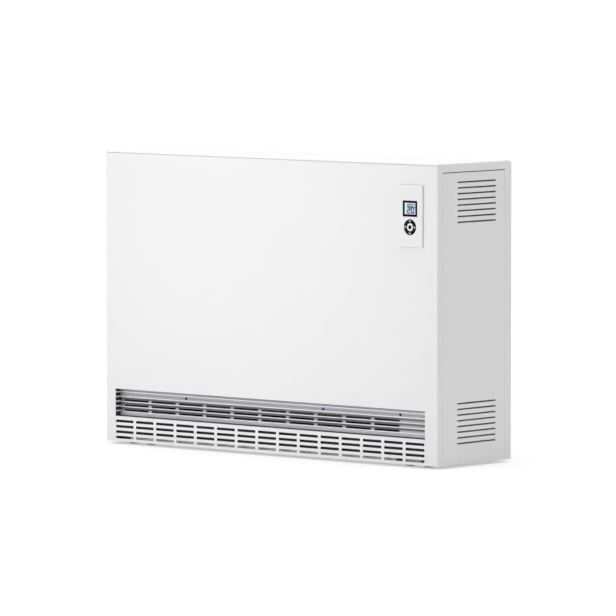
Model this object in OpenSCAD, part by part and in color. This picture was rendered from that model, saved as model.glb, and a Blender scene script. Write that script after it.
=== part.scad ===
/* [Casing] */
// Overall width of the casing
body_w = 955; // [900:5:1300]
// Depth of the casing without the control unit
body_d = 250; // [245:1:280]
// Overall height above the floor
body_h = 650; // [645:5:760]
// Thickness of the painted sheet steel
sheet_t = 1.2; // [1:0.1:1.6]
// Shadow gap between neighbouring covers
seam = 0.6; // [0.4:0.1:1]
// Radius of the folded front edges
fold_r = 3; // [2:0.5:5]
// Radius of the lid's edges
lid_r = 2.2; // [1.5:0.1:3]
// Height of the lid's lip over the front panel
lid_lip = 3.2; // [2.6:0.1:5]
// Height of the lid's skirt on the sides
lid_skirt = 18.4; // [15:0.2:24]
// Height of the shadow gap under the lid's skirt
lid_gap = 1.8; // [1:0.1:3]
// Depth of the front panel's side returns
front_return = 17; // [16.5:0.1:17.5]
// Depth of the back panel's flange
back_flange = 23.5; // [20:0.5:26]
// Radius of the back panel's upright edges
back_edge_r = 3; // [2:0.5:12]
// Radius of the back panel's top edge
back_top_r = 14; // [3:0.5:16]
// Width of the folds along a side panel's edges
stiffener = 14; // [12:0.5:16]
// Height of the base tray's front tongue
tongue_h = 13.5; // [12:0.5:14]
// Distance of the base tray's front tongue from the front
tongue_y = 12; // [11:0.5:13]
// Distance of the front tongue's ends from the opening's ends
tongue_inset = 44.5; // [30:0.5:60]
// Radius of the holes in the front tongue
drain_r = 1.6; // [1:0.1:2]
// Distance of the tongue's holes to the left of a slot's middle
drain_offset = 8; // [6:0.5:12]
// Height of the base tray's side walls
tray_wall = 15; // [10:0.5:20]
// Distance of the tray's side walls from the side panels' folds
tray_clear = 4; // [2:0.5:8]

/* [Feet] */
// Height of the foot rails
foot_h = 6; // [4:0.5:10]
// Width of each foot rail
foot_w = 66; // [50:1:80]
// Distance of each foot rail's middle from the centre
foot_x = 400; // [370:1:410]
// Set-back of the foot rails from the front and the back
foot_inset = 28; // [24:1:40]
// Width of a foot rail's flanges
rail_flange = 14; // [10:0.5:20]
// Thickness of the foot rails' sheet
rail_t = 1.8; // [1.5:0.1:2.5]

/* [Side louvres] */
// Length of a louvre slot
louvre_len = 129; // [100:1:140]
// Height of a louvre slot
louvre_h = 3; // [2:0.1:5]
// Distance from one louvre to the next
louvre_pitch = 12.2; // [11:0.1:14]
// Louvres in each group
louvre_n = 8; // [6:1:9]
// Front end of the louvres, from the front
louvre_y = 66.5; // [60:0.5:70]
// Height of the lowest louvre in the lower group
louvre_low_z = 51; // [45:0.5:60]
// Distance of the highest louvre below the top
louvre_top = 40.5; // [38:0.5:50]
// How far a louvre's lip reaches inwards
louvre_lip = 4; // [3:0.5:5]
// How far a louvre's lip rises over the slot's lower edge
louvre_rise = 1.2; // [0.6:0.1:2]

/* [Air outlet] */
// Width of the air opening in the front
opening_w = 893; // [860:1:895]
// How far the air opening's middle lies to the left of the casing's middle
opening_left = 3.5; // [0:0.5:5]
// Lower edge of the outlet opening
outlet_z = 63; // [62:0.5:64]
// Height of the outlet opening
outlet_h = 59.7; // [59:0.1:64]
// How far the outlet grille lies behind the front
outlet_recess = 16; // [13:0.5:18]
// Thickness of the recess lining
lining_t = 1; // [0.8:0.1:1.2]
// Depth of the grille's extruded section
grille_d = 6; // [5:0.5:7]
// Clearance round the outlet grille
grille_gap = 0.3; // [0.2:0.05:0.5]
// Slots in one row
slot_n = 10; // [8:1:10]
// Length of one outlet slot
slot_len = 71; // [70:0.5:76]
// Rib between two outlet slots
slot_rib = 4.6; // [3:0.1:6]
// Left end of the first slot, from the opening's left end
slot_start = 10.5; // [8:0.5:14]
// Rows of slots
row_n = 3; // [2:1:3]
// Distance from one row of slots to the next
row_pitch = 10.95; // [10:0.05:11]
// Height of the lowest row above the opening's lower edge
row_first = 11.3; // [10:0.1:12]
// Height of an outlet slot
slot_h = 3.8; // [2:0.1:4]
// Height of the sloping fin over a slot
fin_h = 5.1; // [3:0.1:5.3]
// Depth of the sloping fin
fin_d = 3.2; // [2:0.1:4]
// Distance of the first grille screw from the opening's left end
grille_screw_1 = 196.5; // [180:0.5:205]
// Distance of the second grille screw from the opening's left end
grille_screw_2 = 594; // [580:0.5:605]
// Distance of the third grille screw from the opening's left end
grille_screw_3 = 811.5; // [800:0.5:830]
// Radius of the grille's screw heads
grille_screw_r = 3.1; // [2.5:0.1:4]
// Distance of the grille's screws below the opening's upper edge
grille_screw_drop = 12.8; // [10:0.1:14]
// Height of the grille's screw heads
grille_head_t = 1.6; // [1:0.1:2.5]
// Radius of the grille's screw shanks
grille_shank_r = 1.8; // [1.5:0.1:2]
// How far the grille's screws reach behind the grille
grille_screw_tail = 3; // [1:0.5:5]
// Width of the recess's sill
sill_d = 9; // [6:0.5:12]

/* [Air intake] */
// Columns of intake slots
intake_n = 15; // [13:1:15]
// Bar between two columns
intake_bar = 7.9; // [6:0.1:10]
// Wall left at the two ends of the intake grille
intake_edge = 1.5; // [1:0.1:3]
// Rows of intake slots
intake_row_n = 4; // [3:1:4]
// Distance from one row to the next
intake_row_pitch = 12; // [11:0.1:12]
// Height of an intake slot
intake_slot_h = 5.6; // [4:0.1:6]
// Height of the lowest row's middle
intake_row_z = 15.2; // [14:0.1:16]
// Thickness of the intake grille
intake_t = 2.4; // [2:0.1:3]
// Clearance round the intake grille
intake_gap = 0.35; // [0.3:0.05:0.5]
// Thickness of the fluff filter
filter_t = 4; // [3:0.5:5]

/* [Control unit] */
// Width of the control unit's face
control_w = 64; // [58:0.5:68]
// Height of the control unit's face
control_h = 133; // [120:1:140]
// Distance of the control unit's middle from the right side
control_side = 71.3; // [60:0.1:80]
// Distance of the control unit's middle below the top
control_drop = 112.2; // [100:0.1:130]
// How far the control unit stands proud of the front
pad_rise = 5; // [3.5:0.5:6]
// Width of the bevel round the control unit's face
pad_bevel = 0.8; // [0.5:0.1:2]
// Gap round the control unit
pad_gap = 0.8; // [0.6:0.1:1]
// Corner radius of the control unit
pad_r = 1.6; // [1:0.1:2]
// How far the display and the keys lie to the left of the unit's middle
face_left = 1.3; // [0:0.1:3]
// Width of the display
display_w = 39.4; // [36:0.1:44]
// Height of the display
display_h = 33.6; // [30:0.1:36]
// Height of the display's middle over the control unit's middle
display_up = 15.9; // [13:0.1:18]
// Width of the display's black surround
display_border = 3.3; // [2:0.1:4]
// Radius of the black ring key
ring_r = 16.6; // [15:0.1:18]
// Distance of the ring key's middle below the control unit's middle
ring_down = 23.6; // [22:0.1:26]
// Radius of the white key in the ring's middle
key_r = 8.6; // [7:0.1:10]
// Radius of the black spot on the middle key
spot_r = 4.4; // [3:0.1:5]
// How far the middle key travels
key_travel = 0.8; // [0.5:0.1:1]
// Clearance round the keys
key_gap = 0.4; // [0.35:0.05:0.5]

/* [Core] */
// Width of the wiring compartment on the right
wiring_w = 126; // [120:1:140]
// Gap between the left side and the core's housing
left_gap = 36; // [30:1:45]
// Height of the shelf that carries the core
shelf_z = 127; // [126:0.5:135]
// Length of a storage brick
brick_w = 175; // [165:1:180]
// Bricks in one layer
brick_n = 4; // [3:1:4]
// Thickness of the insulation under the core
base_slab = 20; // [16:1:24]
// Thickness of the insulation on top of the core
top_slab = 26; // [20:1:30]
// Air gap under the lid's skirt, over the core's housing
top_gap = 8; // [6:0.5:12]
// Gap between the core's housing and the back panel's flange
back_gap = 2.5; // [2:0.1:6]
// Thickness of the insulation in front of and behind the core
wall_slab = 30; // [26:1:32]
// Gap between the front panel and the front insulation
front_gap = 27; // [26:0.5:30]
// Gap between the core and the insulation in front of and behind it
slab_gap = 2; // [1:0.5:4]
// Joint between two bricks
brick_joint = 0.4; // [0.3:0.1:0.8]
// Width of the air channels in a brick
channel_w = 60; // [40:1:70]
// Depth of the air channels in a brick
channel_d = 14; // [10:1:18]
// Radius of a heating rod
rod_r = 4; // [3:0.1:4.5]
// Distance between a heating element's two legs
rod_pitch = 44; // [36:1:52]

/* [Fan] */
// Radius of the fan wheels
wheel_r = 32; // [28:0.5:33]
// Blades round a fan wheel
blade_n = 24; // [16:1:28]
// Radius of the fan's shaft
shaft_r = 4; // [3:0.1:4.5]
// Running clearance of the shafts
running_gap = 0.05; // [0.03:0.01:0.08]
// Distance of the fan's shaft from the front
fan_y = 112; // [108:1:120]
// Gap between a fan wheel and its scroll
scroll_gap = 6; // [4:0.5:7]
// Length of the fan's motor
motor_len = 60; // [50:1:70]
// Radius of the fan's motor
motor_r = 27; // [24:0.5:29]

/* [Damper] */
// Distance of the damper's spindle from the front
damper_y = 90; // [88:0.5:92]
// Reach of the damper's flap from its spindle
damper_reach = 27; // [24:0.5:28]
// Thickness of the damper's flap
damper_t = 1.5; // [1:0.1:2]
// Radius of the damper's spindle
spindle_r = 3; // [2.5:0.1:3.5]
// Thickness of the damper's brackets
bracket_t = 2; // [1.2:0.1:3]
// Width of the damper's brackets
bracket_w = 16; // [14:0.5:18]
// Metal left under the damper's spindle
bracket_foot = 5; // [3:0.5:7]
// Gap between the closed flap and the shelf
damper_seat = 0.5; // [0.3:0.1:1]

/* [Wall side] */
// Distance between the two wall fixing holes
wall_pitch = 400; // [300:5:500]
// Distance of the wall fixing holes below the top
wall_drop = 60; // [50:1:80]
// Radius of the wall fixing holes
wall_hole_r = 4.5; // [3:0.1:5]
// Height of the strip behind the wall fixing holes
wall_strip_h = 30; // [20:1:40]
// Thickness of the strip behind the wall fixing holes
wall_strip_t = 2; // [1.5:0.1:3]
// Length of the strip beyond each wall fixing hole
wall_strip_end = 25; // [15:1:40]
// Radius of the cable entry's bore
entry_r = 7; // [5:0.5:9]
// Height of the cable entry
entry_z = 100; // [80:1:140]

/* [Hidden] */

$fn = 48;
cut = 1;

painted = "whitesmoke";
side_paint = "gainsboro";
zinc = "silver";
wool = "khaki";
magnesite = "saddlebrown";
plastic_black = [0.04, 0.04, 0.05];

key_proud = 0.4;
overall_d = body_d + pad_rise + key_proud;
front_y = -overall_d / 2 + pad_rise + key_proud;
half_w = body_w / 2;
inside_w = half_w - sheet_t;
floor_z = foot_h + sheet_t;
plate_y = body_d - sheet_t;
front_top = body_h - lid_lip - seam;
skirt_z = body_h - lid_skirt;
side_y0 = front_return + seam;
side_y1 = body_d - back_flange - seam;
side_top = skirt_z - lid_gap;
half_opening = opening_w / 2;
opening_x0 = -half_opening - opening_left;
opening_x1 = half_opening - opening_left;
outlet_top = outlet_z + outlet_h;
slot_pitch = slot_len + slot_rib;
intake_half = half_opening - intake_gap;
intake_x0 = opening_x0 + intake_gap;
intake_x1 = opening_x1 - intake_gap;
intake_top = outlet_z - lining_t - intake_gap;
intake_pitch = (2 * (intake_half - intake_edge) + intake_bar) / intake_n;
intake_slot_w = intake_pitch - intake_bar;

layer_n = 4;
core_x0 = -half_w + left_gap;
core_x1 = half_w - wiring_w;
core_mid = (core_x0 + core_x1) / 2;
top_slab_z = side_top - top_gap;
core_z0 = shelf_z + sheet_t + base_slab;
core_z1 = top_slab_z - top_slab;
brick_h = (core_z1 - core_z0) / layer_n;
slab_y0 = front_gap + sheet_t;
slab_y1 = slab_y0 + wall_slab;
core_y0 = slab_y1 + slab_gap;
core_cover_y = side_y1 - back_gap - sheet_t;
back_slab_y = core_cover_y - wall_slab;
core_y1 = back_slab_y - slab_gap;
brick_x0 = core_mid - brick_n * brick_w / 2;
brick_x1 = core_mid + brick_n * brick_w / 2;
rod_gap = 0.3;
slit_inset = 4;

control_x = half_w - control_side;
face_x = control_x - face_left;
control_z = body_h - control_drop;
display_z = control_z + display_up;
ring_z = control_z - ring_down;
housing_d = 18;
housing_wall = 2;

scroll_r = wheel_r + scroll_gap;
fan_z = floor_z + scroll_r + sheet_t;
fan_inset = 46;
fan_x0 = core_x0 + fan_inset;
fan_x1 = core_x1 - fan_inset;
end_plate_t = 3;
wheel_gap = 6;
damper_z = shelf_z - damper_seat - spindle_r;
flap_end = 3;
flap_x0 = brick_x0 + flap_end;
flap_x1 = brick_x1 - flap_end;

// A block between pairs of coordinates; y counts back from the front panel
module block(x, y, z) {
    translate([x[0], front_y + y[0], z[0]])
        cube([x[1] - x[0], y[1] - y[0], z[1] - z[0]]);
}

// A Y-Z outline drawn out along X
module along_x(x0, x1) {
    translate([x0, front_y, 0])
        rotate([90, 0, 90])
            linear_extrude(x1 - x0) children();
}

// An X-Z outline drawn out along Y
module along_y(y0, y1) {
    translate([0, front_y + y1, 0])
        rotate([90, 0, 0])
            linear_extrude(y1 - y0) children();
}

// A round bar along X
module bar_x(x0, x1, y, z, r) {
    translate([x0, front_y + y, z])
        rotate([0, 90, 0])
            cylinder(h = x1 - x0, r = r);
}

// A round bar along Y
module bar_y(x, y0, y1, z, r) {
    translate([x, front_y + y0, z])
        rotate([-90, 0, 0])
            cylinder(h = y1 - y0, r = r);
}

// A rectangle with round corners, about the origin
module round_rect(w, h, r) {
    square([w - 2 * r, h], center = true);
    square([w, h - 2 * r], center = true);
    for (x = [-1, 1], y = [-1, 1])
        translate([x * (w / 2 - r), y * (h / 2 - r)]) circle(r);
}

// A rectangle with the two corners on its near side rounded
module near_rounded(x0, x1, y0, y1, r) {
    translate([x0 + r, y0]) square([x1 - x0 - 2 * r, y1 - y0]);
    translate([x0, y0 + r]) square([x1 - x0, y1 - y0 - r]);
    for (x = [x0 + r, x1 - r]) translate([x, y0 + r]) circle(r);
}

// The front panel's or its hollow's outline, seen from above
module front_plan(inset) {
    near_rounded(-half_w + inset, half_w - inset, inset,
                 front_return + inset, fold_r - min(inset, fold_r - 0.5));
}

function intake_slot_x(i) = -opening_left + (i - (intake_n - 1) / 2) * intake_pitch;

// The tray under everything, with low walls and a tongue behind the intake
module base_tray() {
    tongue_x0 = opening_x0 + tongue_inset;
    tongue_x1 = opening_x1 - tongue_inset;
    color(zinc) difference() {
        union() {
            block([-inside_w, inside_w], [side_y0, side_y1], [foot_h, floor_z]);
            block([tongue_x0, tongue_x1], [tongue_y, side_y0 + cut], [foot_h, floor_z]);
            block([tongue_x0, tongue_x1], [tongue_y, tongue_y + sheet_t],
                  [foot_h, foot_h + tongue_h]);
            for (x = [-inside_w, inside_w - sheet_t])
                block([x, x + sheet_t],
                      [side_y0 + stiffener + tray_clear, side_y1 - stiffener - tray_clear],
                      [foot_h, foot_h + tray_wall]);
        }
        for (i = [1 : intake_n - 2])
            bar_y(intake_slot_x(i) - drain_offset, tongue_y - cut, tongue_y + sheet_t + cut,
                  intake_row_z, drain_r);
    }
}

// Two folded rails that the casing stands on
module foot_rails() {
    color(zinc) for (x = [-foot_x, foot_x]) difference() {
        block([x - foot_w / 2, x + foot_w / 2], [foot_inset, body_d - foot_inset], [0, foot_h]);
        block([x - foot_w / 2 + rail_flange, x + foot_w / 2 - rail_flange],
              [foot_inset - cut, body_d - foot_inset + cut], [-cut, foot_h - rail_t]);
    }
}

// The back panel's outer or inner form: upright and top edges rounded
module back_form(inset, y0) {
    w = half_w - inset;
    r = max(back_edge_r - inset, 1);
    top_r = max(back_top_r - inset, 1);
    far = body_d - inset;
    intersection() {
        translate([0, front_y, foot_h + inset])
            linear_extrude(body_h - foot_h)
                translate([0, far]) mirror([0, 1])
                    near_rounded(-w, w, 0, far - y0, r);
        along_x(-half_w, half_w) {
            translate([y0, foot_h]) square([far - y0 - top_r, body_h - inset - foot_h]);
            translate([y0, foot_h]) square([far - y0, body_h - inset - foot_h - top_r]);
            translate([far - top_r, body_h - inset - top_r]) circle(top_r);
        }
    }
}

// The back panel: a shallow tray whose flanges close the casing's rear edges
module back_panel() {
    y0 = body_d - back_flange;
    color(side_paint) difference() {
        back_form(0, y0);
        back_form(sheet_t, y0 - cut);
        for (x = [-1, 1])
            bar_y(x * wall_pitch / 2, plate_y - cut, body_d + cut, body_h - wall_drop,
                  wall_hole_r);
        bar_y(wiring_x, plate_y - cut, body_d + cut, entry_z, entry_r + grommet_wall + hole_gap);
        for (x = [-1, 1], z = casing_screw_z)
            bar_y(x * casing_screw_x, plate_y - cut, body_d + cut, z, screw_head_r + hole_gap);
    }
}

hole_gap = 0.2;
screw_r = 2;
screw_head_r = 3;
screw_tip = 3;
screw_edge = 3.6;
screw_end = 24;
casing_screw_x = inside_w - stiffener + screw_edge;
casing_screw_z = [floor_z + screw_end, side_top - screw_end];

// One group of louvre slots in the right side panel
module louvre_slots(z0) {
    for (i = [0 : louvre_n - 1])
        block([inside_w - cut, half_w + cut], [louvre_y, louvre_y + louvre_len],
              [z0 + i * louvre_pitch - louvre_h / 2, z0 + i * louvre_pitch + louvre_h / 2]);
}

lip_root = 0.4;

// The sloping lips pressed inwards from the lower edge of each slot
module louvre_lips(z0) {
    for (i = [0 : louvre_n - 1])
        along_y(louvre_y, louvre_y + louvre_len)
            translate([inside_w, z0 + i * louvre_pitch - louvre_h / 2])
                polygon([[lip_root, -sheet_t], [lip_root, 0], [-louvre_lip, louvre_rise],
                         [-louvre_lip, louvre_rise - sheet_t]]);
}

// The right side panel; the left one is its mirror image
module side_panel() {
    high_z = body_h - louvre_top - (louvre_n - 1) * louvre_pitch;
    color(side_paint) {
        difference() {
            union() {
                block([inside_w, half_w], [side_y0, side_y1], [foot_h, side_top]);
                for (y = [side_y0, side_y1 - sheet_t])
                    block([inside_w - stiffener, inside_w + 0.1], [y, y + sheet_t],
                          [floor_z, side_top]);
                block([inside_w - stiffener, inside_w + 0.1], [side_y0, side_y1],
                      [side_top - sheet_t, side_top]);
            }
            louvre_slots(louvre_low_z);
            louvre_slots(high_z);
            for (z = casing_screw_z)
                bar_y(casing_screw_x, side_y1 - sheet_t - cut, side_y1 + cut, z,
                      screw_r + hole_gap);
        }
        louvre_lips(louvre_low_z);
        louvre_lips(high_z);
    }
}

module side_panel_right() {
    side_panel();
}

module side_panel_left() {
    mirror([1, 0, 0]) side_panel();
}

// The lid's outer or inner form, its front and side edges rounded
module lid_form(inset, z0) {
    w = half_w - inset;
    top = body_h - inset;
    r = max(lid_r - inset, 0.6);
    y1 = side_y1 - inset;
    intersection() {
        along_y(inset, y1) {
            translate([-w, z0]) square([2 * w, top - z0 - r]);
            translate([-w + r, z0]) square([2 * (w - r), top - z0]);
            for (x = [-1, 1]) translate([x * (w - r), top - r]) circle(r);
        }
        along_x(-w, w) {
            translate([inset, z0]) square([y1 - inset, top - z0 - r]);
            translate([inset + r, z0]) square([y1 - inset - r, top - z0]);
            translate([inset + r, top - r]) circle(r);
        }
    }
}

// The lid: a tray turned over, its skirt deeper behind the front panel's returns
module top_cover() {
    color(painted) difference() {
        lid_form(0, skirt_z);
        lid_form(sheet_t, skirt_z - cut);
        block([-body_w, body_w], [-cut, side_y0], [skirt_z - cut, body_h - lid_lip]);
    }
}

// Four clips that hold the lid on the side panels' upper folds
module lid_clips() {
    clip_len = 24;
    clip_w = 10;
    clip_end = 30;
    color("dimgray") for (x = [-1, 1], y = [side_y0 + clip_end, side_y1 - clip_end - clip_len]) {
        mid = x * (inside_w - stiffener / 2 - 1);
        block([mid - clip_w / 2, mid + clip_w / 2], [y, y + clip_len],
              [side_top, body_h - sheet_t]);
    }
}

// The front panel: one folded tray, notched for the air outlet and intake
module front_panel() {
    control_cut = [control_w + 2 * pad_gap, control_h + 2 * pad_gap];
    color(painted) difference() {
        translate([0, front_y, foot_h]) linear_extrude(front_top - foot_h) intersection() {
            front_plan(0);
            translate([-half_w, 0]) square([body_w, front_return]);
        }
        translate([0, front_y, foot_h + sheet_t])
            linear_extrude(front_top - foot_h - 2 * sheet_t) front_plan(sheet_t);
        block([opening_x0, opening_x1], [-cut, front_return + cut],
              [foot_h - cut, outlet_top]);
        along_y(-cut, sheet_t + cut) translate([control_x, control_z])
            round_rect(control_cut[0], control_cut[1], pad_r + pad_gap);
    }
}

// The lining of the outlet's recess: two jambs, a ceiling and a sill
module outlet_lining() {
    y0 = sheet_t;
    y1 = outlet_recess + grille_d;
    z0 = outlet_z - lining_t;
    color("dimgray") {
        for (x = [opening_x0 - lining_t, opening_x1])
            block([x, x + lining_t], [y0, y1], [z0, outlet_top + lining_t]);
        block([opening_x0 - 0.1, opening_x1 + 0.1], [y0, y1],
              [outlet_top, outlet_top + lining_t]);
        block([opening_x0 - 0.1, opening_x1 + 0.1], [outlet_recess - sill_d, y1],
              [z0, outlet_z]);
    }
}

// The Y-Z outline of the outlet grille's section: sloping fins over each slot
module grille_outline(z0, z1) {
    front = outlet_recess;
    function slot_z(i) = z0 + row_first + i * row_pitch;
    points = concat(
        [[front + grille_d, z0], [front, z0]],
        [for (i = [0 : row_n - 1]) each [
            [front, slot_z(i) - slot_h / 2],
            [front + fin_d, slot_z(i) - slot_h / 2],
            [front + fin_d, slot_z(i) + slot_h / 2],
            [front, slot_z(i) + slot_h / 2 + fin_h]]],
        [[front, z1], [front + grille_d, z1]]);
    polygon(points);
}

// The extruded aluminium outlet grille with its slots
module air_outlet_grille() {
    x0 = opening_x0 + grille_gap;
    x1 = opening_x1 - grille_gap;
    color([0.62, 0.61, 0.64]) difference() {
        along_x(x0, x1) grille_outline(outlet_z, outlet_top);
        for (i = [0 : slot_n - 1], j = [0 : row_n - 1]) {
            sx = opening_x0 + slot_start + i * slot_pitch;
            sz = outlet_z + row_first + j * row_pitch;
            block([sx, sx + slot_len], [outlet_recess - cut, outlet_recess + grille_d + cut],
                  [sz - slot_h / 2, sz + slot_h / 2]);
        }
        for (x = grille_screw_x)
            bar_y(x, outlet_recess - cut, outlet_recess + grille_d + cut,
                  outlet_top - grille_screw_drop, grille_shank_r + grille_gap);
    }
}

grille_screw_x = [for (d = [grille_screw_1, grille_screw_2, grille_screw_3]) opening_x0 + d];

// The dark screws that hold the outlet grille
module outlet_grille_screws() {
    z = outlet_top - grille_screw_drop;
    head_y = outlet_recess - grille_head_t;
    socket_d = 1;
    color(plastic_black) for (x = grille_screw_x) difference() {
        union() {
            bar_y(x, head_y, outlet_recess, z, grille_screw_r);
            bar_y(x, head_y + socket_d, outlet_recess + grille_d + grille_screw_tail, z,
                  grille_shank_r);
        }
        bar_y(x, head_y - cut, head_y + socket_d, z, grille_screw_r * 0.4);
    }
}

// The white intake grille: a moulded lattice with a rim behind it
module intake_grille() {
    color(painted) difference() {
        union() {
            block([intake_x0, intake_x1], [0, intake_t], [foot_h, intake_top]);
            block([intake_x0, intake_x1], [intake_t - 0.1, intake_t + filter_t],
                  [intake_top - intake_rim, intake_top]);
        }
        for (i = [0 : intake_n - 1], j = [0 : intake_row_n - 1]) {
            x = intake_slot_x(i);
            z = intake_row_z + j * intake_row_pitch;
            block([x - intake_slot_w / 2, x + intake_slot_w / 2], [-cut, intake_t + cut],
                  [z - intake_slot_h / 2, z + intake_slot_h / 2]);
        }
    }
}

intake_rim = 2.6;
filter_gap = 1.2;

// The fluff filter's frame, clipped behind the intake grille
module fluff_filter() {
    z0 = intake_row_z + intake_slot_h / 2 + filter_gap;
    z1 = intake_top - intake_rim;
    mesh_t = 0.8;
    frame_w = 2;
    color(plastic_black) difference() {
        block([intake_x0, intake_x1], [intake_t, intake_t + filter_t], [z0, z1]);
        for (i = [0 : intake_n - 1]) {
            x = intake_slot_x(i);
            block([x - intake_slot_w / 2, x + intake_slot_w / 2],
                  [intake_t - cut, intake_t + filter_t - mesh_t],
                  [z0 + frame_w, z1 - frame_w]);
        }
    }
}

// An upright sheet wall at one end of the core's housing
module bulkhead(x) {
    block([x, x + sheet_t], [front_gap, core_cover_y + sheet_t], [floor_z, top_slab_z]);
}

bend_x = brick_x0 - 2;
bend_gap = 1;

function rod_z(i) = core_z0 + (i + 1) * brick_h;
function rod_y(leg) = (core_y0 + core_y1) / 2 + leg * rod_pitch / 2;

module bulkhead_left() {
    color(zinc) bulkhead(core_x0);
}

module bulkhead_right() {
    color(zinc) difference() {
        bulkhead(inner_x1);
        rod_holes(inner_x1, core_x1);
    }
}

// The holes that the heating rods' legs pass through
module rod_holes(x0, x1) {
    for (i = [0 : layer_n - 2], leg = [-1, 1])
        bar_x(x0 - cut, x1 + cut, rod_y(leg), rod_z(i), rod_r + rod_gap);
}

inner_x0 = core_x0 + sheet_t;
inner_x1 = core_x1 - sheet_t;

// The shelf that carries the core, slit for the air, on folded edges
module core_shelf() {
    leg_inset = 12;
    color(zinc) difference() {
        union() {
            block([inner_x0, inner_x1], [front_gap, core_cover_y], [shelf_z, shelf_z + sheet_t]);
            for (x = [inner_x0, inner_x1 - sheet_t])
                block([x, x + sheet_t], [front_gap + leg_inset, core_cover_y],
                      [floor_z, shelf_z + 0.1]);
        }
        for (y = channel_y)
            block([slit_x0, slit_x1], [y, y + channel_d],
                  [shelf_z - cut, shelf_z + sheet_t + cut]);
    }
}

module inner_front_cover() {
    color(zinc)
        block([inner_x0, inner_x1], [front_gap, front_gap + sheet_t],
              [shelf_z + sheet_t, top_slab_z]);
}

module inner_back_cover() {
    color(zinc)
        block([inner_x0, inner_x1], [core_cover_y, core_cover_y + sheet_t],
              [floor_z, top_slab_z]);
}

module inner_top_cover() {
    color(zinc)
        block([core_x0, core_x1], [front_gap, core_cover_y + sheet_t],
              [top_slab_z, top_slab_z + sheet_t]);
}

channel_y = [core_y0 + slit_inset, core_y1 - slit_inset - channel_d];
slit_end = 12;
slit_x0 = brick_x0 + slit_end;
slit_x1 = brick_x1 - slit_end;

// The slab under the core, slit for the air
module insulation_base() {
    color(wool) difference() {
        block([inner_x0, inner_x1], [slab_y0, core_cover_y], [shelf_z + sheet_t, core_z0]);
        for (y = channel_y)
            block([slit_x0, slit_x1], [y, y + channel_d], [shelf_z, core_z0 + cut]);
    }
}

module insulation_front() {
    color(wool)
        block([inner_x0, inner_x1], [slab_y0, slab_y1], [core_z0, core_z1]);
}

module insulation_back() {
    color(wool)
        block([inner_x0, inner_x1], [back_slab_y, core_cover_y], [core_z0, core_z1]);
}

// A slab between the core and one bulkhead
module insulation_end(x0, x1) {
    block([x0, x1], [slab_y1, back_slab_y], [core_z0, core_z1]);
}

module insulation_left() {
    color(wool) difference() {
        insulation_end(inner_x0, brick_x0 - brick_joint);
        for (i = [0 : layer_n - 2])
            block([bend_x - rod_pitch / 2 - rod_r - bend_gap, brick_x0],
                  [rod_y(-1) - rod_r - bend_gap, rod_y(1) + rod_r + bend_gap],
                  [rod_z(i) - rod_r - rod_gap, rod_z(i) + rod_r + bend_gap]);
    }
}

module insulation_right() {
    color(wool) difference() {
        insulation_end(brick_x1 + brick_joint, inner_x1);
        rod_holes(brick_x1, inner_x1);
    }
}

module insulation_top() {
    color(wool)
        block([inner_x0, inner_x1], [slab_y0, core_cover_y], [core_z1, top_slab_z]);
}

channel_rib = 16;
channel_x = (channel_w + channel_rib) / 2;

// One layer of storage bricks, grooved for the rods, with air channels
module brick_layer(level) {
    z0 = core_z0 + level * brick_h;
    color(magnesite) for (i = [0 : brick_n - 1]) difference() {
        x0 = brick_x0 + i * brick_w;
        block([x0, x0 + brick_w - brick_joint], [core_y0, core_y1], [z0, z0 + brick_h]);
        for (y = channel_y, side = [-1, 1])
            block([x0 + brick_w / 2 + side * channel_x - channel_w / 2,
                   x0 + brick_w / 2 + side * channel_x + channel_w / 2],
                  [y, y + channel_d], [z0 - cut, z0 + brick_h + cut]);
        for (leg = [-1, 1]) {
            if (level > 0)
                bar_x(x0 - cut, x0 + brick_w + cut, rod_y(leg), z0, rod_r + rod_gap);
            if (level < layer_n - 1)
                bar_x(x0 - cut, x0 + brick_w + cut, rod_y(leg), z0 + brick_h,
                      rod_r + rod_gap);
        }
    }
}

// Three heating rods bent into hairpins, with their terminals on the right
module heating_elements() {
    rod_end = core_x1 + 10;
    pin_len = 12;
    color("dimgray") for (i = [0 : layer_n - 2]) {
        z = rod_z(i);
        for (leg = [-1, 1]) {
            bar_x(bend_x, rod_end, rod_y(leg), z, rod_r);
            bar_x(rod_end - 0.1, rod_end + pin_len, rod_y(leg), z, rod_r / 2);
        }
        translate([bend_x, front_y + (core_y0 + core_y1) / 2, z])
            rotate([0, 0, 90])
                rotate_extrude(angle = 180) translate([rod_pitch / 2, 0]) circle(rod_r);
    }
}

// The curved wall behind and over the fan wheels
module fan_scroll() {
    color(zinc) along_x(fan_x0 + end_plate_t, fan_x1 - end_plate_t) difference() {
        translate([fan_y, fan_z]) circle(scroll_r + sheet_t);
        translate([fan_y, fan_z]) circle(scroll_r);
        translate([fan_y - 2 * scroll_r, fan_z - 2 * scroll_r])
            square([2 * scroll_r, 4 * scroll_r]);
    }
}

// The two plates that carry the fan's scroll and its bearings
module fan_end_plates() {
    plate_rim = 5;
    color(zinc) for (x = [fan_x0, fan_x1 - end_plate_t]) difference() {
        block([x, x + end_plate_t], [fan_y - wheel_r, fan_y + scroll_r + plate_rim],
              [floor_z, fan_z + scroll_r + plate_rim]);
        bar_x(x - cut, x + end_plate_t + cut, fan_y, fan_z, bearing_r);
    }
}

bearing_r = 9;

// The bushes that the fan's shaft turns in
module fan_bearings() {
    color("darkgoldenrod") for (x = [fan_x0, fan_x1 - end_plate_t]) difference() {
        bar_x(x, x + end_plate_t, fan_y, fan_z, bearing_r);
        bar_x(x - cut, x + end_plate_t + cut, fan_y, fan_z, shaft_r + running_gap);
    }
}

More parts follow.
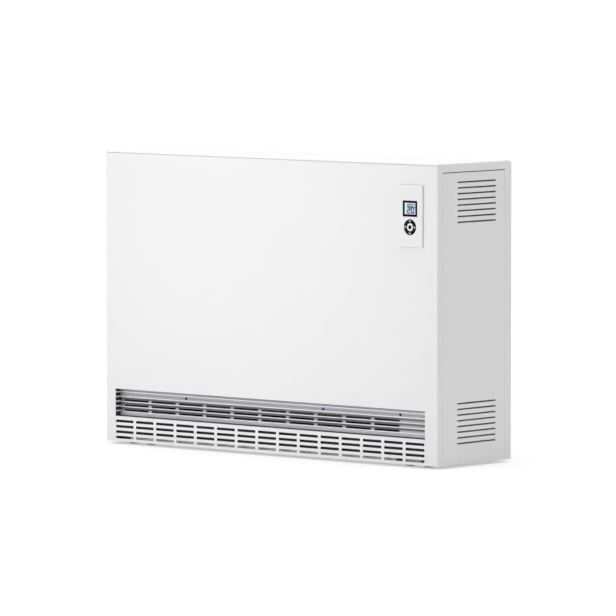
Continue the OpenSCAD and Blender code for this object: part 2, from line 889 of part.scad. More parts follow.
// The motor between the two wheels, on its saddle
module fan_motor() {
    x0 = core_mid - motor_len / 2;
    x1 = core_mid + motor_len / 2;
    saddle_end = 8;
    saddle_w = 20;
    color("gray") difference() {
        union() {
            bar_x(x0, x1, fan_y, fan_z, motor_r);
            block([x0 + saddle_end, x1 - saddle_end], [fan_y - saddle_w, fan_y - cut],
                  [floor_z, fan_z - motor_r / 2]);
        }
        bar_x(x0 - cut, x1 + cut, fan_y, fan_z, shaft_r + running_gap);
    }
}

module fan_shaft() {
    shaft_end = 6;
    color("silver") bar_x(fan_x0 - shaft_end, fan_x1 + shaft_end, fan_y, fan_z, shaft_r);
}

// A drum wheel: a ring of blades between two discs on the shaft
module fan_wheel(x0, x1) {
    disc_t = 3;
    blade_t = 0.8;
    blade_w = 8;
    blade_turn = 35;
    hub_len = 14;
    hub_r = shaft_r + 4;
    color("dimgray") {
        difference() {
            union() {
                for (x = [x0, x1 - disc_t]) bar_x(x, x + disc_t, fan_y, fan_z, wheel_r);
                bar_x(x0, x0 + hub_len, fan_y, fan_z, hub_r);
                bar_x(x1 - hub_len, x1, fan_y, fan_z, hub_r);
            }
            bar_x(x0 - cut, x1 + cut, fan_y, fan_z, shaft_r);
        }
        for (i = [0 : blade_n - 1])
            translate([x0 + disc_t - 0.1, front_y + fan_y, fan_z])
                rotate([i * 360 / blade_n, 0, 0])
                    translate([0, wheel_r - blade_w / 2 - 1, 0])
                        rotate([blade_turn, 0, 0])
                            translate([0, -blade_w / 2, -blade_t / 2])
                                cube([x1 - x0 - 2 * disc_t + 0.2, blade_w, blade_t]);
    }
}

module fan_wheel_left() {
    fan_wheel(fan_x0 + end_plate_t + wheel_gap, core_mid - motor_len / 2 - wheel_gap);
}

module fan_wheel_right() {
    fan_wheel(core_mid + motor_len / 2 + wheel_gap, fan_x1 - end_plate_t - wheel_gap);
}

// The two brackets under the shelf that the damper's spindle turns in
module damper_brackets() {
    color(zinc) for (x = [brick_x0, brick_x1 - bracket_t]) difference() {
        block([x, x + bracket_t], [damper_y - bracket_w / 2, damper_y + bracket_w / 2],
              [damper_z - spindle_r - bracket_foot, shelf_z]);
        bar_x(x - cut, x + bracket_t + cut, damper_y, damper_z, spindle_r + running_gap);
    }
}

// The damper: a flap on its spindle, closing the front air slit
module damper_flap() {
    color(zinc) union() {
        bar_x(brick_x0 - spindle_end, lever_x + lever_w, damper_y, damper_z, spindle_r);
        block([flap_x0, flap_x1], [damper_y - damper_reach, damper_y],
              [damper_z + spindle_r - damper_t, damper_z + spindle_r]);
        block([lever_x, lever_x + lever_w], [damper_y - lever_t, damper_y + lever_t],
              [damper_z - lever_len, damper_z]);
    }
}

lever_x = brick_x1 + 8;
lever_w = 8;
lever_t = 2;
lever_len = 14;
spindle_end = 3;

// The bimetal strip that pushes the damper's lever as the outlet air warms
module bimetal_strip() {
    strip_len = 44;
    strip_t = 1;
    strip_foot = 6;
    strip_gap = 0.3;
    y1 = damper_y - lever_t - strip_gap;
    z1 = damper_z - lever_len + spindle_r;
    color("darkgoldenrod") {
        block([lever_x, lever_x + lever_w], [y1 - strip_len, y1], [z1 - strip_t, z1]);
        block([lever_x, lever_x + lever_w], [y1 - strip_len, y1 - strip_len + strip_foot],
              [z1 - 0.1, shelf_z]);
    }
}

// The strip inside the back panel that takes the wall screws
module wall_bracket() {
    color(zinc) difference() {
        block([-wall_pitch / 2 - wall_strip_end, wall_pitch / 2 + wall_strip_end],
              [plate_y - wall_strip_t, plate_y],
              [body_h - wall_drop - wall_strip_h / 2, body_h - wall_drop + wall_strip_h / 2]);
        for (x = [-1, 1])
            bar_y(x * wall_pitch / 2, plate_y - wall_strip_t - cut, plate_y + cut,
                  body_h - wall_drop, wall_hole_r);
    }
}

wiring_x = core_x1 + wiring_w / 2;
grommet_wall = 2.8;
grommet_flange = 5;
grommet_len = 4;

// The bush that guides the supply cable through the back panel
module cable_grommet() {
    color(plastic_black) difference() {
        union() {
            bar_y(wiring_x, plate_y - grommet_len, body_d, entry_z, entry_r + grommet_wall);
            bar_y(wiring_x, plate_y - grommet_len, plate_y, entry_z, entry_r + grommet_flange);
        }
        bar_y(wiring_x, plate_y - grommet_len - cut, body_d + cut, entry_z, entry_r);
    }
}

carrier_drop = 20;
carrier_y = body_d - back_flange - carrier_drop;

// The plate in the wiring compartment that carries the electrical parts
module wiring_carrier() {
    color(zinc) {
        block([core_x1, inside_w - stiffener - 1], [carrier_y, carrier_y + sheet_t],
              [floor_z, top_slab_z]);
    }
}

// The clamp that takes the supply cable's pull
module cable_clamp() {
    clamp_w = 36;
    clamp_d = 16;
    clamp_h = 14;
    z0 = entry_z + 20;
    color("dimgray") difference() {
        block([wiring_x - clamp_w / 2, wiring_x + clamp_w / 2], [carrier_y - clamp_d, carrier_y],
              [z0, z0 + clamp_h]);
        translate([wiring_x, front_y + carrier_y - clamp_d / 2, z0 - cut])
            cylinder(h = clamp_h + 2 * cut, r = entry_r - 1);
    }
}

// The supply terminals, one chamber for each wire
module terminal_block() {
    ways = 6;
    pitch = 13;
    block_d = 24;
    block_h = 32;
    chamber_r = 3.5;
    chamber_d = 14;
    z0 = entry_z + 60;
    color("ivory") difference() {
        block([wiring_x - ways * pitch / 2, wiring_x + ways * pitch / 2],
              [carrier_y - block_d, carrier_y], [z0, z0 + block_h]);
        for (i = [0 : ways - 1])
            bar_y(wiring_x + (i - (ways - 1) / 2) * pitch, carrier_y - block_d - cut,
                  carrier_y - block_d + chamber_d, z0 + block_h / 2, chamber_r);
    }
}

cutout_d = 30;
cutout_y = core_y1 - 45;
cutout_h = 24;
cutout_t = 20;
cutout_pitch = 32;
cutout_z = (rod_z(0) + rod_z(1) - cutout_pitch) / 2;
reset_travel = 1.5;
reset_r = 3;
reset_gap = 0.3;
reset_x = core_x1 + 12;
reset_out = 4;

// Two safety cut-outs; the lower one has a reset button
module thermal_cutouts() {
    color("ivory") for (z = [cutout_z, cutout_z + cutout_pitch]) difference() {
        block([core_x1, core_x1 + cutout_t], [cutout_y - cutout_d / 2, cutout_y + cutout_d / 2],
              [z - cutout_h / 2, z + cutout_h / 2]);
        if (z == cutout_z)
            bar_x(reset_x, core_x1 + cutout_t + cut, cutout_y, z, reset_r + reset_gap);
    }
}

module reset_button() {
    color("firebrick")
        bar_x(reset_x + reset_travel + reset_gap, core_x1 + cutout_t + reset_out, cutout_y,
              cutout_z, reset_r);
}

module power_relay() {
    relay = [50, 38, 60];
    z0 = shelf_z + 123;
    color("black")
        block([wiring_x - relay[0] / 2, wiring_x + relay[0] / 2],
              [carrier_y - relay[1], carrier_y], [z0, z0 + relay[2]]);
}

// The room air sensor on the base tray's right
module room_sensor() {
    foot = [12, 30, 3];
    blade = [6, 22, 30];
    x0 = half_w - 34;
    y0 = 40;
    color("ivory") {
        block([x0, x0 + foot[0]], [y0, y0 + foot[1]], [floor_z, floor_z + foot[2]]);
        block([x0 + (foot[0] - blade[0]) / 2, x0 + (foot[0] + blade[0]) / 2],
              [y0 + (foot[1] - blade[1]) / 2, y0 + (foot[1] + blade[1]) / 2],
              [floor_z + foot[2] - 0.1, floor_z + blade[2]]);
    }
}

// The screws that hold the back panel on the side panels' folds
module casing_screws() {
    color("silver") for (x = [-1, 1], z = casing_screw_z) {
        bar_y(x * casing_screw_x, side_y1 - sheet_t - screw_tip, body_d - 0.1, z, screw_r);
        bar_y(x * casing_screw_x, plate_y, body_d, z, screw_head_r);
    }
}

// A block that stands proud of the front, its face's edges bevelled
module raised_pad(w, h, rise, bevel) {
    intersection() {
        along_y(-rise, 0) translate([control_x, control_z]) round_rect(w, h, pad_r);
        translate([control_x, front_y, control_z - h / 2])
            linear_extrude(h)
                polygon([[-w / 2, 0], [w / 2, 0], [w / 2, bevel - rise],
                         [w / 2 - bevel, -rise], [-w / 2 + bevel, -rise],
                         [-w / 2, bevel - rise]]);
        translate([control_x - w / 2, front_y, control_z])
            rotate([90, 0, 90])
                linear_extrude(w)
                    polygon([[0, -h / 2], [0, h / 2], [bevel - rise, h / 2],
                             [-rise, h / 2 - bevel], [-rise, -h / 2 + bevel],
                             [bevel - rise, -h / 2]]);
    }
}

// The control unit's white moulding, a raised pad on a box behind the panel
module control_housing() {
    inner = [control_w - 2 * housing_wall, control_h - 2 * housing_wall];
    rim_w = 5;
    rim_t = 1.5;
    face_t = 1;
    color(painted) difference() {
        union() {
            raised_pad(control_w, control_h, pad_rise, pad_bevel);
            along_y(0, housing_d) translate([control_x, control_z])
                round_rect(control_w, control_h, pad_r);
            along_y(sheet_t, sheet_t + rim_t) translate([control_x, control_z])
                round_rect(control_w + 2 * rim_w, control_h + 2 * rim_w, pad_r);
        }
        along_y(face_t, housing_d + cut) translate([control_x, control_z])
            round_rect(inner[0], inner[1], pad_r / 2);
        along_y(-pad_rise - cut, housing_wall) translate([face_x, display_z])
            square([display_w + 2 * key_gap, display_h + 2 * key_gap], center = true);
        bar_y(face_x, -pad_rise - cut, housing_wall, ring_z, ring_r + key_gap);
    }
}

board_y = 13;
board_t = 1.6;
board_gap = 0.3;

// The board that carries the display and the key contacts
module control_board() {
    color("darkgreen")
        along_y(board_y, board_y + board_t) translate([control_x, control_z])
            square([control_w - 2 * housing_wall - 2 * board_gap,
                    control_h - 2 * housing_wall - 2 * board_gap], center = true);
}

// The black surround of the display
module display_frame() {
    color(plastic_black) along_y(-pad_rise, board_y) translate([face_x, display_z])
        difference() {
            square([display_w, display_h], center = true);
            square([display_w - 2 * display_border, display_h - 2 * display_border],
                   center = true);
        }
}

module display_window() {
    window_drop = 0.6;
    color("lightsteelblue")
        along_y(-pad_rise + window_drop, board_y) translate([face_x, display_z])
            square([display_w - 2 * display_border, display_h - 2 * display_border],
                   center = true);
}

gimbal_y = 4;
gimbal_r = 15;
gimbal_t = 2;
rock_gap = 0.8;
plunger_r = 3.5;
spot_d = 0.6;
key_t = 2;

// The cross-piece that lets the ring key rock up and down
module nav_gimbal() {
    color("dimgray") difference() {
        bar_y(face_x, gimbal_y, gimbal_y + gimbal_t, ring_z, gimbal_r);
        bar_y(face_x, gimbal_y - cut, gimbal_y + gimbal_t + cut, ring_z, plunger_r * 2);
    }
}

// The black ring key
module nav_ring() {
    color(plastic_black) difference() {
        bar_y(face_x, -pad_rise - key_proud, gimbal_y - rock_gap, ring_z, ring_r);
        bar_y(face_x, -pad_rise - key_proud - cut, gimbal_y, ring_z, key_r + key_gap);
    }
}

// The white key in the ring's middle, on its plunger
module centre_button() {
    color("white") difference() {
        union() {
            bar_y(face_x, -pad_rise - key_proud / 2, key_t, ring_z, key_r);
            bar_y(face_x, key_t - 0.1, board_y - key_travel - board_gap, ring_z, plunger_r);
        }
        bar_y(face_x, -pad_rise - cut, -pad_rise + spot_d, ring_z, spot_r);
    }
}

module centre_spot() {
    color(plastic_black) bar_y(face_x, -pad_rise - 0.1, -pad_rise + spot_d, ring_z, spot_r);
}

base_tray();
foot_rails();
back_panel();
side_panel_left();
side_panel_right();
top_cover();
lid_clips();
front_panel();
outlet_lining();
air_outlet_grille();
outlet_grille_screws();
intake_grille();
fluff_filter();
bulkhead_left();
bulkhead_right();
core_shelf();
inner_front_cover();
inner_back_cover();
inner_top_cover();
insulation_base();
insulation_front();
insulation_back();
insulation_left();
insulation_right();
insulation_top();
brick_layer(0);  // brick_layer_1
brick_layer(1);  // brick_layer_2
brick_layer(2);  // brick_layer_3
brick_layer(3);  // brick_layer_4
heating_elements();
fan_scroll();
fan_end_plates();
fan_bearings();
fan_motor();
fan_shaft();
fan_wheel_left();
fan_wheel_right();
damper_brackets();
damper_flap();
bimetal_strip();
wall_bracket();
cable_grommet();
cable_clamp();
terminal_block();
thermal_cutouts();
reset_button();
power_relay();
wiring_carrier();
room_sensor();
casing_screws();
control_housing();
control_board();
display_frame();
display_window();
nav_gimbal();
nav_ring();
centre_button();
centre_spot();
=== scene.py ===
import math

import bmesh
import bpy
from mathutils import Matrix, Vector


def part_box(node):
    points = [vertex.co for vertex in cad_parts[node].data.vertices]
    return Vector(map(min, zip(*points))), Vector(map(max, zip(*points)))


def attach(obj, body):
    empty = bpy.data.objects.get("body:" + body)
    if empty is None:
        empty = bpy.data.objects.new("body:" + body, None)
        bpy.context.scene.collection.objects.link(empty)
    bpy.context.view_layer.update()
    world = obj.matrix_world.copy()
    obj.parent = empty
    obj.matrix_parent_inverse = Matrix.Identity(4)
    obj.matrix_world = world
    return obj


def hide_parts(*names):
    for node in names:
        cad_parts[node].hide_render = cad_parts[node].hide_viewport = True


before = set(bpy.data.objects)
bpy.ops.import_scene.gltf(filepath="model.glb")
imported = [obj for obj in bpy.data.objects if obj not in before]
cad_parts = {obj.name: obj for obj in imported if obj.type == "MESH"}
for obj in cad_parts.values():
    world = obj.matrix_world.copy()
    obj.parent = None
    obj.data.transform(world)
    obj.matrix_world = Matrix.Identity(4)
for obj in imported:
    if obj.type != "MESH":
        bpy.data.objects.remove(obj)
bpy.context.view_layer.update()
mm = 0.001


# The view. The heater is seen from its front right, a little from above and
# through a long lens, so that its edges stay nearly parallel.
view_yaw = math.radians(40.801)
view_pitch = math.radians(4.095)
view_place = (9.2624, -10.7202, 1.3304)
view_length = 379.89
view_right = Vector((math.cos(view_yaw), math.sin(view_yaw), 0))
view_ahead = Vector((-math.sin(view_yaw) * math.cos(view_pitch),
    math.cos(view_yaw) * math.cos(view_pitch), -math.sin(view_pitch)))
view_up = view_right.cross(view_ahead)


def placed(name, data):
    """A new object in the scene."""
    made = bpy.data.objects.new(name, data)
    bpy.context.scene.collection.objects.link(made)
    return made


lens = bpy.data.cameras.new("view")
lens.sensor_width = 36
lens.lens = view_length
lens.clip_start = 0.1
lens.clip_end = 400
camera = placed("view", lens)
camera.matrix_world = Matrix.Translation(view_place) @ Matrix(
    (view_right, view_up, -view_ahead)).transposed().to_4x4()
bpy.context.scene.camera = camera


# Front panel. One tray of 1.2 mm sheet steel, folded round both sides and
# notched for the air openings, with a baked coat of satin white powder.
class Finish:
    """A surface finish made of shader nodes, with the look of two_tone if one is given."""

    def __init__(self, name, *look, **shader):
        self.material = bpy.data.materials.new(name)
        self.material.use_nodes = True
        self.nodes = self.material.node_tree.nodes
        self.links = self.material.node_tree.links
        self.shader = self.nodes["Principled BSDF"]
        for socket, value in shader.items():
            self.shader.inputs[socket.replace("_", " ")].default_value = value
        self.place = self.add("TexCoord").outputs["Object"]
        if look:
            self.two_tone(*look)

    def add(self, kind, inputs=None, **settings):
        node = self.nodes.new("ShaderNode" + kind)
        for name, value in settings.items():
            setattr(node, name, value)
        for name, value in (inputs or {}).items():
            if isinstance(value, bpy.types.NodeSocket):
                self.links.new(value, node.inputs[name])
            else:
                node.inputs[name].default_value = value
        return node

    def stretched(self, stretch):
        return self.add("Mapping", {
            "Vector": self.place, "Scale": stretch}).outputs["Vector"]

    def grain(self, scale, detail=2.0, stretch=(1, 1, 1), rough=0.5):
        return self.add("TexNoise", {
            "Vector": self.stretched(stretch), "Scale": scale, "Detail": detail,
            "Roughness": rough}).outputs["Fac"]

    def cells(self, scale, feature="F1", output="Distance", stretch=(1, 1, 1)):
        return self.add("TexVoronoi", {
            "Vector": self.stretched(stretch), "Scale": scale},
            feature=feature).outputs[output]

    def tone(self, amount, *stops):
        ramp = self.add("ValToRGB", {"Fac": amount})
        spots = ramp.color_ramp.elements
        while len(spots) < len(stops):
            spots.new(0.5)
        for spot, (at, colour) in zip(spots, stops):
            spot.position = at
            spot.color = (*colour, 1)
        self.links.new(ramp.outputs["Color"], self.shader.inputs["Base Color"])

    def gloss(self, amount, smooth, rough):
        spread = self.add("MapRange", {
            "Value": amount, "From Min": 0.25, "From Max": 0.75,
            "To Min": smooth, "To Max": rough})
        self.links.new(spread.outputs["Result"], self.shader.inputs["Roughness"])

    def relief(self, height, depth, strength):
        bump = self.add("Bump", {
            "Height": height, "Distance": depth, "Strength": strength})
        if self.shader.inputs["Normal"].is_linked:
            before = self.shader.inputs["Normal"].links[0].from_socket
            self.links.new(before, bump.inputs["Normal"])
        self.links.new(bump.outputs["Normal"], self.shader.inputs["Normal"])

    def two_tone(self, tone_grain, dark, light, gloss_grain, smooth, rough):
        """The usual look: two tones and an uneven gloss, each with its own grain."""
        self.tone(self.grain(*tone_grain), (0.3, dark), (0.7, light))
        self.gloss(self.grain(*gloss_grain), smooth, rough)

    def grit(self, scale, detail, depth, strength):
        self.relief(self.grain(scale, detail), depth, strength)

    def pores(self, scale, depth, strength):
        self.relief(self.cells(scale), depth, strength)


weld = 1e-5
flat_turn = math.radians(0.4)


def close_up(shape, name, finish, edge=0.0, steps=2, turn=30, smooth=40):
    """Welds a shape, rounds its edges by mm and makes it an object with one finish."""
    bmesh.ops.remove_doubles(shape, verts=shape.verts, dist=weld)
    if edge:
        sharp = [e for e in shape.edges if len(e.link_faces) == 2
            and e.calc_face_angle(0) > math.radians(turn)]
        bmesh.ops.bevel(shape, geom=sharp, offset=edge * mm, segments=steps, profile=0.5,
            affect="EDGES", clamp_overlap=True)
    mesh = bpy.data.meshes.new(name)
    shape.to_mesh(mesh)
    shape.free()
    mesh.shade_smooth()
    mesh.set_sharp_from_angle(angle=math.radians(smooth))
    mesh.materials.clear()
    mesh.materials.append(finish.material)
    made = placed(name, mesh)
    even = made.modifiers.new("large faces stay flat", "WEIGHTED_NORMAL")
    even.keep_sharp = True
    made.data = as_built(made)
    return made


def as_built(piece):
    """The mesh that a piece's modifiers give; the modifiers are taken off."""
    bpy.context.view_layer.update()
    built = bpy.data.meshes.new_from_object(
        piece.evaluated_get(bpy.context.evaluated_depsgraph_get()))
    piece.modifiers.clear()
    return built


def worked(shape, name, finish, edge, steps=2, turn=30):
    """Joins a shape's flat facets and rounds its edges."""
    bmesh.ops.remove_doubles(shape, verts=shape.verts, dist=weld)
    bmesh.ops.dissolve_limit(shape, angle_limit=flat_turn, verts=shape.verts,
        edges=shape.edges)
    return close_up(shape, name, finish, edge, steps, turn)


def fit(piece, body, slot, *nodes):
    """Puts a piece on its body, in place of the frame's own pieces if any are named."""
    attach(piece, body)
    if nodes:
        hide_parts(*nodes)


def remade(node, name, finish, edge, body, slot, steps=2, turn=30):
    """Puts a worked copy of a frame piece in that piece's place."""
    shape = bmesh.new()
    shape.from_mesh(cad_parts[node].data)
    fit(worked(shape, name, finish, edge, steps, turn), body, slot, node)


powder_coat = Finish("powder coat", (3.0, 3), (0.868, 0.868, 0.872), (0.88, 0.88, 0.882),
    (24.0, 4), 0.36, 0.46, IOR=1.5, Specular_IOR_Level=0.5)
powder_coat.grit(520.0, 2, 0.00004, 0.5)
powder_coat.grit(9.0, 2, 0.0004, 0.12)
remade("front_panel", "front_panel_sheet", powder_coat, 0.3, "casing", "white_paint")


# Lid. A shallow tray of the same coated sheet, turned over, with its front and
# side edges drawn to a small radius; moulded black clips hold it on the folds.
# Two thin black blocks set in the gap under its side skirts are painted shade that darkens
# that gap.
remade("top_cover", "lid_sheet", powder_coat, 0.25, "casing", "white_paint")

moulded_black = Finish("moulded black", (200.0, 2), (0.02, 0.02, 0.022),
    (0.035, 0.035, 0.037), (500.0, 3), 0.42, 0.58, IOR=1.46)
moulded_black.pores(1500.0, 0.00003, 0.4)
remade("lid_clips", "lid_clip_set", moulded_black, 0.4, "casing", "black_plastic")

# A near-black finish for the blocks that paint shade into the gap under the lid's skirts.
gap_shade_finish = Finish("gap shade strip", (700.0, 3), (0.012, 0.012, 0.012), (0.03, 0.03, 0.03), (900.0, 2),
    0.85, 0.95, Specular_IOR_Level=0.1)
gap_shade_finish.pores(2200.0, 0.0002, 0.6)


def in_mm(*lengths):
    return tuple(length * mm for length in lengths)


strip_x = 469.9 * mm
strip_z = 631.3 * mm
strip_size = in_mm(12.4, 200, 3.0)
gap_shade_strips = bmesh.new()
for hand in (1, -1):
    bmesh.ops.create_cube(
        gap_shade_strips, size=1, matrix=Matrix.Translation((hand * strip_x, 0, strip_z))
        @ Matrix.Diagonal((*strip_size, 1)))
fit(close_up(gap_shade_strips, "lid_foam_strips", gap_shade_finish, 0.5), "casing", "grommet_rubber")


# Side panels. Coated sheet with folded edges and two groups of eight louvres,
# which a press tool slits and pushes inwards so that each keeps closed ends.
side_x = 476.3 * mm
side_face_x = 477.5 * mm
side_y = in_mm(-104.7, 103.6)
side_z = in_mm(6, 629.8)
side_fold = 14 * mm
sheet = 1.2 * mm
louvre_count = 8
louvre_y = in_mm(-55.8, 73.2)
louvre_gap = 3.35 * mm
louvre_step = 12.2 * mm
louvre_low = 50.83 * mm
louvre_group = 473.1 * mm
louvre_reach = 4 * mm
louvre_rise = 0.8 * mm
lip_root = 0.7 * mm
lip_under = in_mm(0.3, 1.1)
lip_ends = ((0, 0.04), (0.8, 0.42), (2, 0.75), (4, 0.93), (7, 1), (122, 1), (125, 0.93),
    (127, 0.75), (128.2, 0.42), (129, 0.04))
lip_curve = ((0, 0), (0.3, 0.02), (0.55, 0.15), (0.8, 0.5), (1, 1))
field_y = (louvre_y[0] - 3 * mm, louvre_y[1] + 3 * mm)


def face(shape, points, marked=False):
    """Adds one face; a marked face belongs to the part that is repeated."""
    flags = shape.faces.layers.bool
    flag = flags["repeats"] if "repeats" in flags else flags.new("repeats")
    shape.faces.new([shape.verts.new(p) for p in points])[flag] = marked


def slab(shape, x, y, z, marked=False):
    """Adds a closed block between pairs of coordinates."""
    a = [Vector((x[i & 1], y[i >> 1 & 1], z[i >> 2])) for i in range(8)]
    for quad in ((0, 2, 3, 1), (4, 5, 7, 6), (0, 1, 5, 4), (2, 6, 7, 3), (0, 4, 6, 2),
            (1, 3, 7, 5)):
        face(shape, [a[i] for i in quad], marked)


def loft(shape, rings, marked=False):
    """Joins rings of points one to the next and closes both ends."""
    for near, far in zip(rings, rings[1:]):
        for i in range(len(near)):
            k = (i + 1) % len(near)
            face(shape, [near[i], near[k], far[k], far[i]], marked)
    face(shape, list(reversed(rings[0])), marked)
    face(shape, rings[-1], marked)


def seal(shape, reach=weld):
    """Welds a shape's seams and turns its faces outwards."""
    bmesh.ops.remove_doubles(shape, verts=shape.verts, dist=reach)
    bmesh.ops.recalc_face_normals(shape, faces=shape.faces)


def new_tree(name, *inputs):
    """Starts a node tree with named inputs and returns what builds it."""
    tree = bpy.data.node_groups.new(name, "GeometryNodeTree")
    sockets = tree.interface.new_socket
    sockets("Geometry", in_out="INPUT", socket_type="NodeSocketGeometry")
    for label, kind in inputs:
        sockets(label, in_out="INPUT", socket_type="NodeSocket" + kind)
    sockets("Material", in_out="INPUT", socket_type="NodeSocketMaterial")
    sockets("Geometry", in_out="OUTPUT", socket_type="NodeSocketGeometry")
    given = tree.nodes.new("NodeGroupInput").outputs

    def step(kind, values=None, **settings):
        node = tree.nodes.new(kind if "Node" in kind else "GeometryNode" + kind)
        for label, value in settings.items():
            setattr(node, label, value)
        for label, value in (values or {}).items():
            for one in value if isinstance(value, list) else [value]:
                if isinstance(one, bpy.types.NodeSocket):
                    tree.links.new(one, node.inputs[label])
                else:
                    node.inputs[label].default_value = one
        return node.outputs

    def end(*parts):
        joined = step("JoinGeometry", {"Geometry": list(parts)})
        real = step("RealizeInstances", {"Geometry": joined["Geometry"]})
        done = step("SetMaterial", {
            "Geometry": real["Geometry"], "Material": given["Material"]})
        tree.links.new(done["Geometry"], tree.nodes.new("NodeGroupOutput").inputs["Geometry"])

    return tree, given, step, end


def grown(tree, shape, finish, **inputs):
    """Runs a tree on a shape and returns the plain shape that comes out."""
    mesh = bpy.data.meshes.new("seed")
    shape.to_mesh(mesh)
    shape.free()
    seed = placed("seed", mesh)
    modifier = seed.modifiers.new("grow", "NODES")
    modifier.node_group = tree
    inputs["Material"] = finish.material
    for item in tree.interface.items_tree:
        if item.in_out == "INPUT" and item.name.replace(" ", "_") in inputs:
            modifier[item.identifier] = inputs[item.name.replace(" ", "_")]
    result = as_built(seed)
    out = bmesh.new()
    out.from_mesh(result)
    bpy.data.objects.remove(seed)
    bpy.data.meshes.remove(mesh)
    bpy.data.meshes.remove(result)
    return out


def parted(given, step):
    """Parts the marked faces of what goes in from all others."""
    marks = step("InputNamedAttribute", {"Name": "repeats"}, data_type="BOOLEAN")
    return step("SeparateGeometry", {
        "Geometry": given["Geometry"], "Selection": marks["Attribute"]}, domain="FACE")


# The marked part of a sheet is pressed again and again, in rows and columns.
rows, given, step, end = new_tree(
    "pressed in rows", ("Number", "Int"), ("Step", "Vector"), ("Rows", "Int"),
    ("Row step", "Vector"))
split = parted(given, step)
one_row = step("MeshLine", {
    "Count": given["Number"], "Offset": given["Step"]}, mode="OFFSET")
row_starts = step("MeshLine", {
    "Count": given["Rows"], "Offset": given["Row step"]}, mode="OFFSET")
all_rows = step("InstanceOnPoints", {
    "Points": row_starts["Mesh"], "Instance": one_row["Mesh"]})
places = step("RealizeInstances", {"Geometry": all_rows["Instances"]})
pressed = step("InstanceOnPoints", {
    "Points": places["Geometry"], "Instance": split["Selection"]})
end(pressed["Instances"], split["Inverted"])


def in_rows(shape, finish, number, step, count=1, row_step=(0, 0, 0)):
    """Presses the marked part of a shape again in a row, or in several rows."""
    return grown(rows, shape, finish, Number=number, Step=step, Rows=count, Row_step=row_step)


def sheet_with_window(shape, skins, across, up, window, place):
    """Two skins of a sheet, cut in a grid, open where a window's cells come."""
    for depth, way in zip(skins, (1, -1)):
        for a0, a1 in zip(across, across[1:]):
            for u0, u1 in zip(up, up[1:]):
                if not window(0.5 * (a0 + a1), 0.5 * (u0 + u1)):
                    ring = [place(depth, a, u) for a, u in (
                        (a0, u0), (a1, u0), (a1, u1), (a0, u1))]
                    face(shape, ring[::way])
    for a in (across[0], across[-1]):
        for u0, u1 in zip(up, up[1:]):
            ring = [place(skins[0], a, u0), place(skins[0], a, u1), place(skins[1], a, u1),
                place(skins[1], a, u0)]
            face(shape, ring if a == across[0] else ring[::-1])
    for u in (up[0], up[-1]):
        for a0, a1 in zip(across, across[1:]):
            ring = [place(skins[0], a0, u), place(skins[1], a0, u), place(skins[1], a1, u),
                place(skins[0], a1, u)]
            face(shape, ring if u == up[0] else ring[::-1])


def cell_with_slot(shape, skins, across, up, slot_across, slot_up, place, marked=True,
        draft=(0, 0)):
    """One cell of a sheet round its slot, which the draft widens inwards."""
    outer = ((across[0], up[0]), (across[1], up[0]), (across[1], up[1]), (across[0], up[1]))
    inner = []
    for more_a, more_u in ((0, 0), draft):
        a0, a1 = slot_across[0] - more_a, slot_across[1] + more_a
        u0, u1 = slot_up[0] - more_u, slot_up[1] + more_u
        inner.append(((a0, u0), (a1, u0), (a1, u1), (a0, u1)))
    for i in range(4):
        k = (i + 1) % 4
        for depth, hole, way in zip(skins, inner, (1, -1)):
            ring = [place(depth, *p) for p in (outer[i], outer[k], hole[k], hole[i])]
            face(shape, ring[::way], marked)
        face(shape, [place(skins[0], *inner[0][i]), place(skins[0], *inner[0][k]),
            place(skins[1], *inner[1][k]), place(skins[1], *inner[1][i])], marked)


for name, hand in (("right", 1), ("left", -1)):
    panel = bmesh.new()

    def on_side(x, y, z, hand=hand):
        return Vector((hand * x, y, z))

    fields = [[louvre_low + (i - 0.5) * louvre_step + group * louvre_group
        for i in range(louvre_count + 1)] for group in (0, 1)]
    sheet_with_window(panel, (side_face_x, side_x), [side_y[0], *field_y, side_y[1]],
        [side_z[0], *fields[0], *fields[1], side_z[1]],
        lambda y, z: field_y[0] < y < field_y[1] and any(
            field[0] < z < field[-1] for field in fields), on_side)
    cell_with_slot(
        panel, (side_face_x, side_x), field_y,
        (louvre_low - louvre_step / 2, louvre_low + louvre_step / 2), louvre_y,
        (louvre_low - louvre_gap / 2, louvre_low + louvre_gap / 2), on_side)
    lips = []
    for along, part in lip_ends:
        ring = [(side_x + lip_root - reach * part * (louvre_reach + lip_root),
            louvre_low - louvre_gap / 2 + louvre_rise * rise) for reach, rise in lip_curve]
        ring += [(x - lip_under[0], z - lip_under[1]) for x, z in reversed(ring)]
        lips.append([on_side(x, louvre_y[0] + along * mm, z) for x, z in ring])
    loft(panel, lips, True)
    inner_x = (side_x - side_fold, side_x + 0.1 * mm)
    fold_z = (side_z[0] + sheet, side_z[1])
    for y, z in (((side_y[0], side_y[0] + sheet), fold_z),
            ((side_y[1] - sheet, side_y[1]), fold_z),
            (side_y, (side_z[1] - sheet, side_z[1]))):
        slab(panel, sorted(hand * x for x in inner_x), y, z)
    panel = in_rows(panel, powder_coat, louvre_count, (0, 0, louvre_step), 2,
        (0, 0, louvre_group))
    seal(panel)
    fit(close_up(panel, f"side_panel_{name}_sheet", powder_coat, 0.25, 2, 50),
        "casing", "white_paint", f"side_panel_{name}")


# Back panel. Zinc-coated sheet in the casing's colour with flanges that close the
# rear edges; shallow pressed beads keep the wide sheet from drumming.
bead_count = 8
bead_x = -367.5 * mm
bead_step = 105 * mm
bead_half = 3.5 * mm
bead_depth = 0.9 * mm
bead_proud = 0.01 * mm
bead_low = 70 * mm
bead_points = 13
bead_ends = ((0, 0), (3, 0.25), (7, 0.75), (11, 1), (459, 1), (463, 0.75), (467, 0.25),
    (470, 0))
back_face_y = 127.7 * mm

